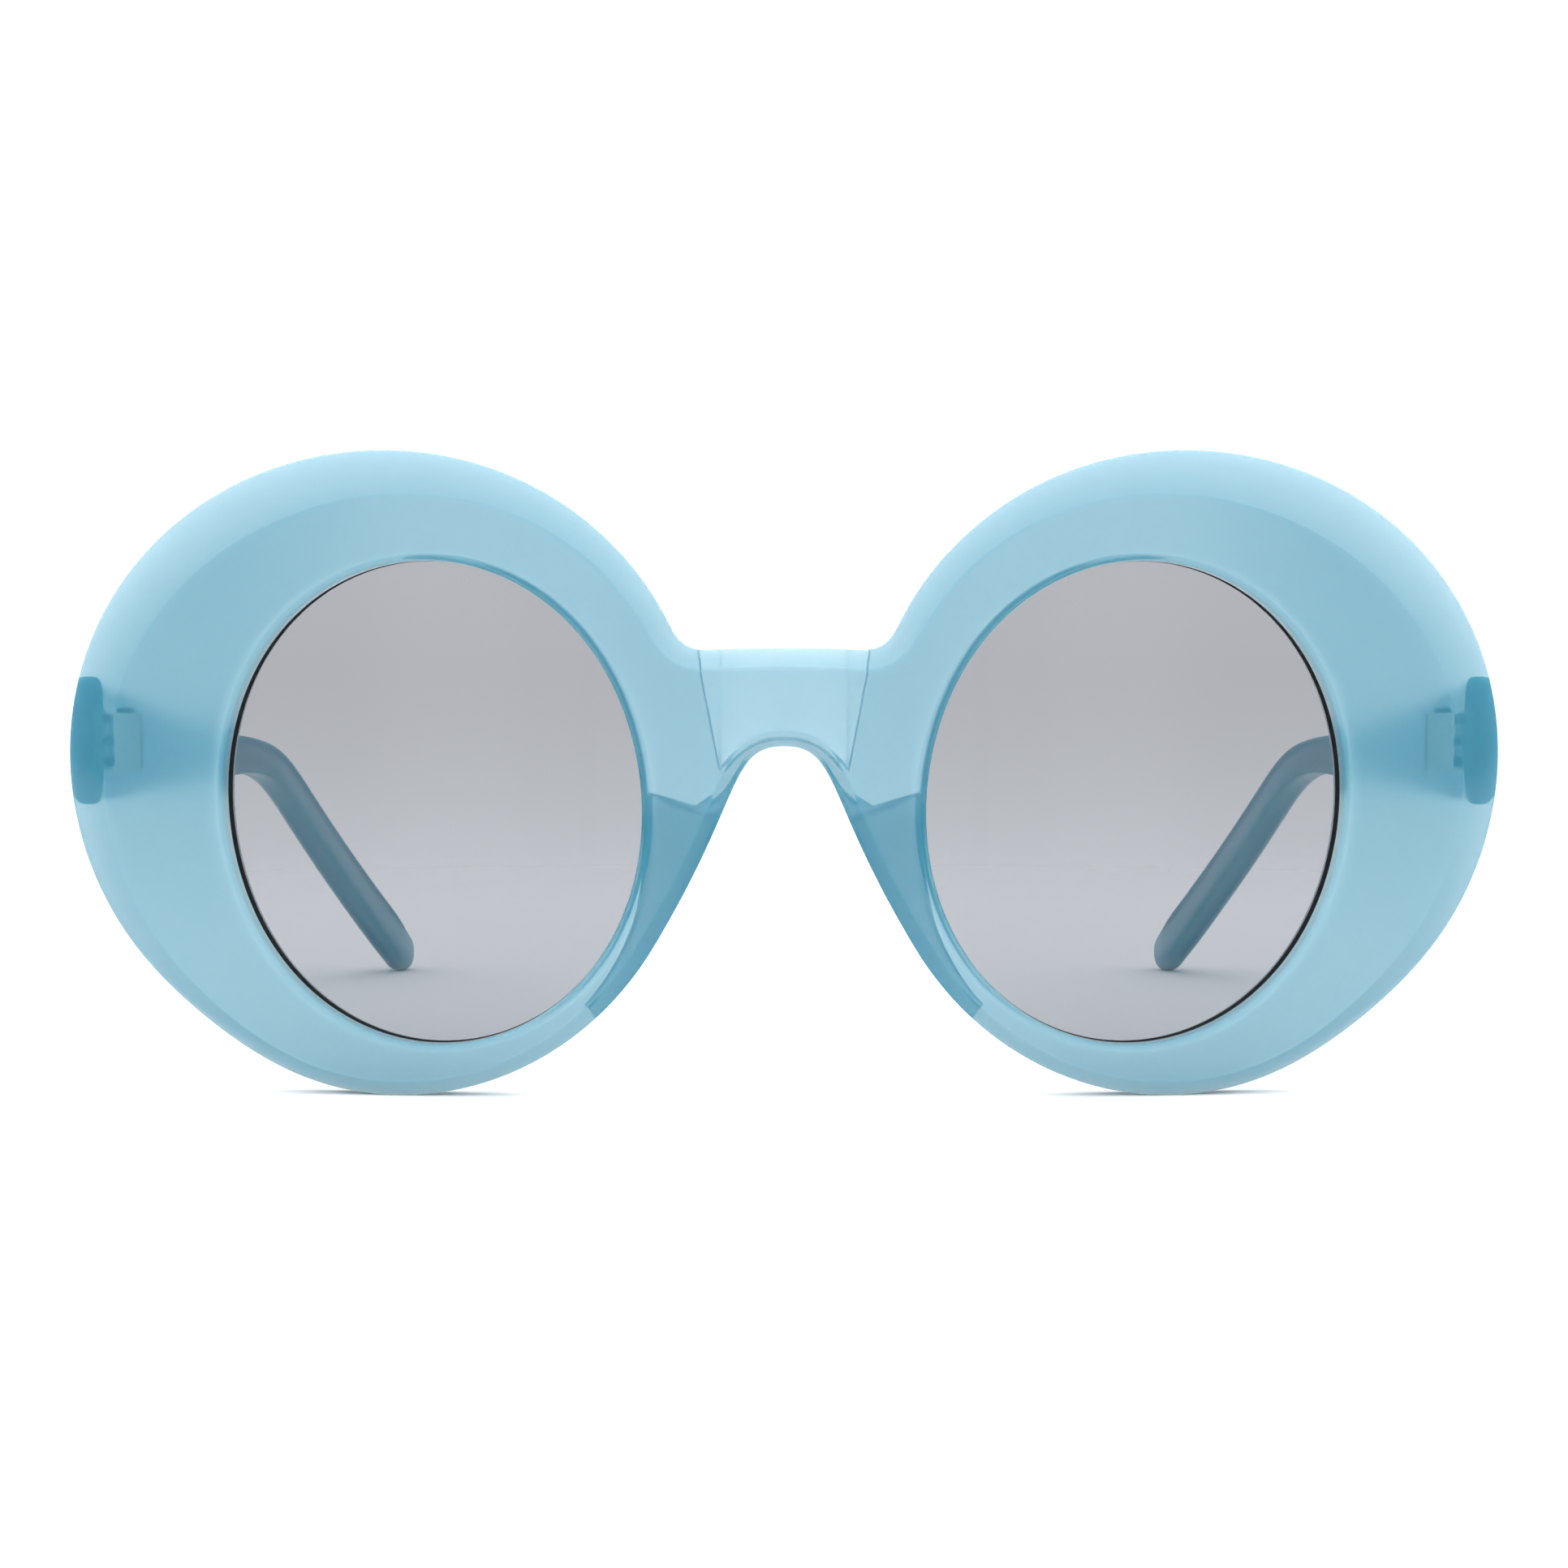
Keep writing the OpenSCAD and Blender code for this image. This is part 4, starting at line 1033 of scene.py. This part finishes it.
def shape_screw():
    """A turned screw with a low domed head and a cut slot."""
    low, top = STACK_LOW, STACK_LOW + STACK_H
    r, head = SCREW_D / 2, HEAD_D / 2
    profile = [(r - SCREW_CHAMFER, low), (r, low + SCREW_CHAMFER), (r, top), (head - HEAD_CHAMFER, top),
               (head, top + HEAD_CHAMFER), (head, top + HEAD_WALL_SHARE * HEAD_H)]
    profile += [(head * float(cosd(b)) ** HEAD_POWER,
                 top + HEAD_H * (HEAD_WALL_SHARE + (1 - HEAD_WALL_SHARE) * float(sind(b)))) for b in HEAD_ANGLES]
    around = [i * 360 / ROUND_STEPS for i in range(ROUND_STEPS)]
    points = [(radius * float(cosd(b)), radius * float(sind(b)), z) for radius, z in profile for b in around]
    faces = grid_faces(len(profile), ROUND_STEPS)
    foot, crown = len(points), len(points) + 1
    points += [(0, 0, low), (0, 0, top + HEAD_H)]
    end = (len(profile) - 1) * ROUND_STEPS
    for i in range(ROUND_STEPS):
        k = (i + 1) % ROUND_STEPS
        faces += [(k, i, foot), (end + i, end + k, crown)]
    mesh = bpy.data.meshes.new("screw")
    mesh.from_pydata([tuple(v * MM for v in p) for p in points], [], faces)
    obj = bpy.data.objects.new("hinge_screw_right_steel", mesh)
    bpy.context.scene.collection.objects.link(obj)
    finish_edges(obj)
    bm = box_mesh((-2 * head, -SLOT_W / 2, top + HEAD_H - SLOT_DEEP), (2 * head, SLOT_W / 2, top + 2 * HEAD_H))
    cutter = bpy.data.objects.new("slot", bpy.data.meshes.new("slot"))
    bm.to_mesh(cutter.data)
    bm.free()
    bpy.context.scene.collection.objects.link(cutter)
    cut_away(obj, cutter)
    obj.data.materials.clear()
    obj.data.materials.append(STEEL)
    to_pin(obj, False)
    finish_edges(obj)
    return obj


def settle(obj, body, slot, *nodes):
    """Names the body that a piece rides on and the CAD nodes that it stands for; the material slot is not used."""
    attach(obj, body)
    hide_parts(*nodes)


settle(shape_front(), "frame", "frame_plastic", "front")
for mirrored, side in ((False, "right"), (True, "left")):
    settle(shape_lens(mirrored), "frame", "lens_glass", "lens_" + side)
    settle(shape_pad(mirrored), "frame", "pad_plastic", "nose_pad_" + side)

arm = shape_arm(arm_tree())
finish_edges(arm)
satin_everywhere(arm, ARM_SATIN)
stack = knuckle_tree()
for piece, body, slot, node in (
        (arm, "arm", "frame_plastic", "temple"),
        (shape_front_leaf(stack), "frame", "hinge_steel", "hinge_front_leaf"),
        (shape_temple_leaf(stack), "arm", "hinge_steel", "hinge_temple_leaf"),
        (shape_screw(), "arm", "hinge_steel", "hinge_screw")):
    left = twin(piece, piece.name.replace("right", "left"))
    for obj, side in ((piece, "right"), (left, "left")):
        settle(obj, body if body == "frame" else f"arm_{side}", slot, f"{node}_{side}")


# ---- Table, light and camera

def lay_table():
    bm = bmesh.new()
    bmesh.ops.create_circle(bm, cap_ends=True, segments=96, radius=TABLE_R)
    mesh = bpy.data.meshes.new("white_table")
    bm.to_mesh(mesh)
    bm.free()
    table = bpy.data.objects.new("white_table", mesh)
    bpy.context.scene.collection.objects.link(table)
    table.data.materials.append(PAPER)


# Strengths of the light: the white sweep behind, the table beyond its rim, the dark of the room low in
# front, the bright ceiling, and the box of light that the front mirrors, with its dimmer parts
REAR_LIGHT = 1.3
TABLE_LIGHT = 1.74
FRONT_LOW = 0.5
FRONT_HIGH = 2.4
FRONT_BOX = 3.5
BOX_FOOT_SHARE, BOX_MIDDLE_SHARE, BOX_CORE_SHARE = 0.4, 0.6, 0.6

# Between which shares of a looking direction along one axis each part of the light eases in
BOX_SIDE, BOX_TOP, BOX_FOOT = (0.46, 0.28), (0.5, 0.1), (-0.16, -0.08)
BOX_MIDDLE, BOX_CORE = (0.09, 0.18), (0.012, 0.02)
FRONT_CEILING, FRONT_TABLE = (0.1, 0.5), (-0.03, -0.1)
REAR_CEILING, REAR_TABLE = (0.4, 0.8), (-0.02, -0.09)
AHEAD = (0.3, -0.2)


def light_tent():
    """A white sweep behind, bright light above, and a darker room low in front; the camera sees only white."""
    world = bpy.data.worlds.new("light_tent")
    bpy.context.scene.world = world
    world.use_nodes = True
    tree = world.node_tree
    background = tree.nodes["Background"]
    background.inputs["Color"].default_value = (1.0, 1.0, 1.0, 1)

    def math_node(operation, one, two=0.0):
        return lay_node(tree, "ShaderNodeMath", {0: one, 1: two}, operation=operation).outputs[0]

    def ease(value, border, low, high):
        ends = {"Value": value, "From Min": border[0], "From Max": border[1], "To Min": low, "To Max": high}
        return lay_node(tree, "ShaderNodeMapRange", ends, interpolation_type="SMOOTHSTEP").outputs["Result"]

    def mix(factor, one, two):
        ends = {"Factor": factor, "A": one, "B": two}
        return lay_node(tree, "ShaderNodeMix", ends, data_type="FLOAT").outputs[0]

    # A looking direction's share of each axis: the front looks along -Y, and up is +Z
    generated = tree.nodes.new("ShaderNodeTexCoord").outputs["Generated"]
    way = lay_node(tree, "ShaderNodeSeparateXYZ", {0: generated}).outputs
    side = math_node("ABSOLUTE", way["X"])

    box = math_node("MULTIPLY", ease(side, BOX_SIDE, 0.0, FRONT_BOX), ease(way["Z"], BOX_TOP, 0.0, 1.0))
    for dimmer in (ease(way["Z"], BOX_FOOT, BOX_FOOT_SHARE, 1.0), ease(side, BOX_MIDDLE, BOX_MIDDLE_SHARE, 1.0),
                   ease(side, BOX_CORE, BOX_CORE_SHARE, 1.0)):
        box = math_node("MULTIPLY", box, dimmer)
    front = math_node("ADD", ease(way["Z"], FRONT_CEILING, FRONT_LOW, FRONT_HIGH),
                      ease(way["Z"], FRONT_TABLE, 0.0, TABLE_LIGHT - FRONT_LOW))
    front = math_node("ADD", front, box)
    behind = math_node("ADD", ease(way["Z"], REAR_CEILING, REAR_LIGHT, FRONT_HIGH),
                       ease(way["Z"], REAR_TABLE, 0.0, TABLE_LIGHT - REAR_LIGHT))
    ahead = ease(way["Y"], AHEAD, 0.0, 1.0)
    light = mix(ahead, behind, front)
    seen = tree.nodes.new("ShaderNodeLightPath").outputs["Is Camera Ray"]
    tree.links.new(mix(seen, light, REAR_LIGHT), background.inputs["Strength"])


# The camera's distance from the bridge and height over the table in millimetres, and its downward tilt
CAMERA_BACK = 440
CAMERA_HEIGHT = 54.65
CAMERA_TILT = 2.88


def set_camera():
    camera = bpy.data.objects.new("camera", bpy.data.cameras.new("camera"))
    bpy.context.scene.collection.objects.link(camera)
    camera.data.lens = 98.57
    camera.data.sensor_width = 36.0
    camera.data.clip_start = 0.01
    camera.location = (0, (-TIP_Y / 2 - CAMERA_BACK) * MM, CAMERA_HEIGHT * MM)
    camera.rotation_euler = (math.radians(90 - CAMERA_TILT), 0, 0)
    bpy.context.scene.camera = camera
    bpy.context.scene.view_settings.view_transform = "Standard"


lay_table()
light_tent()
set_camera()
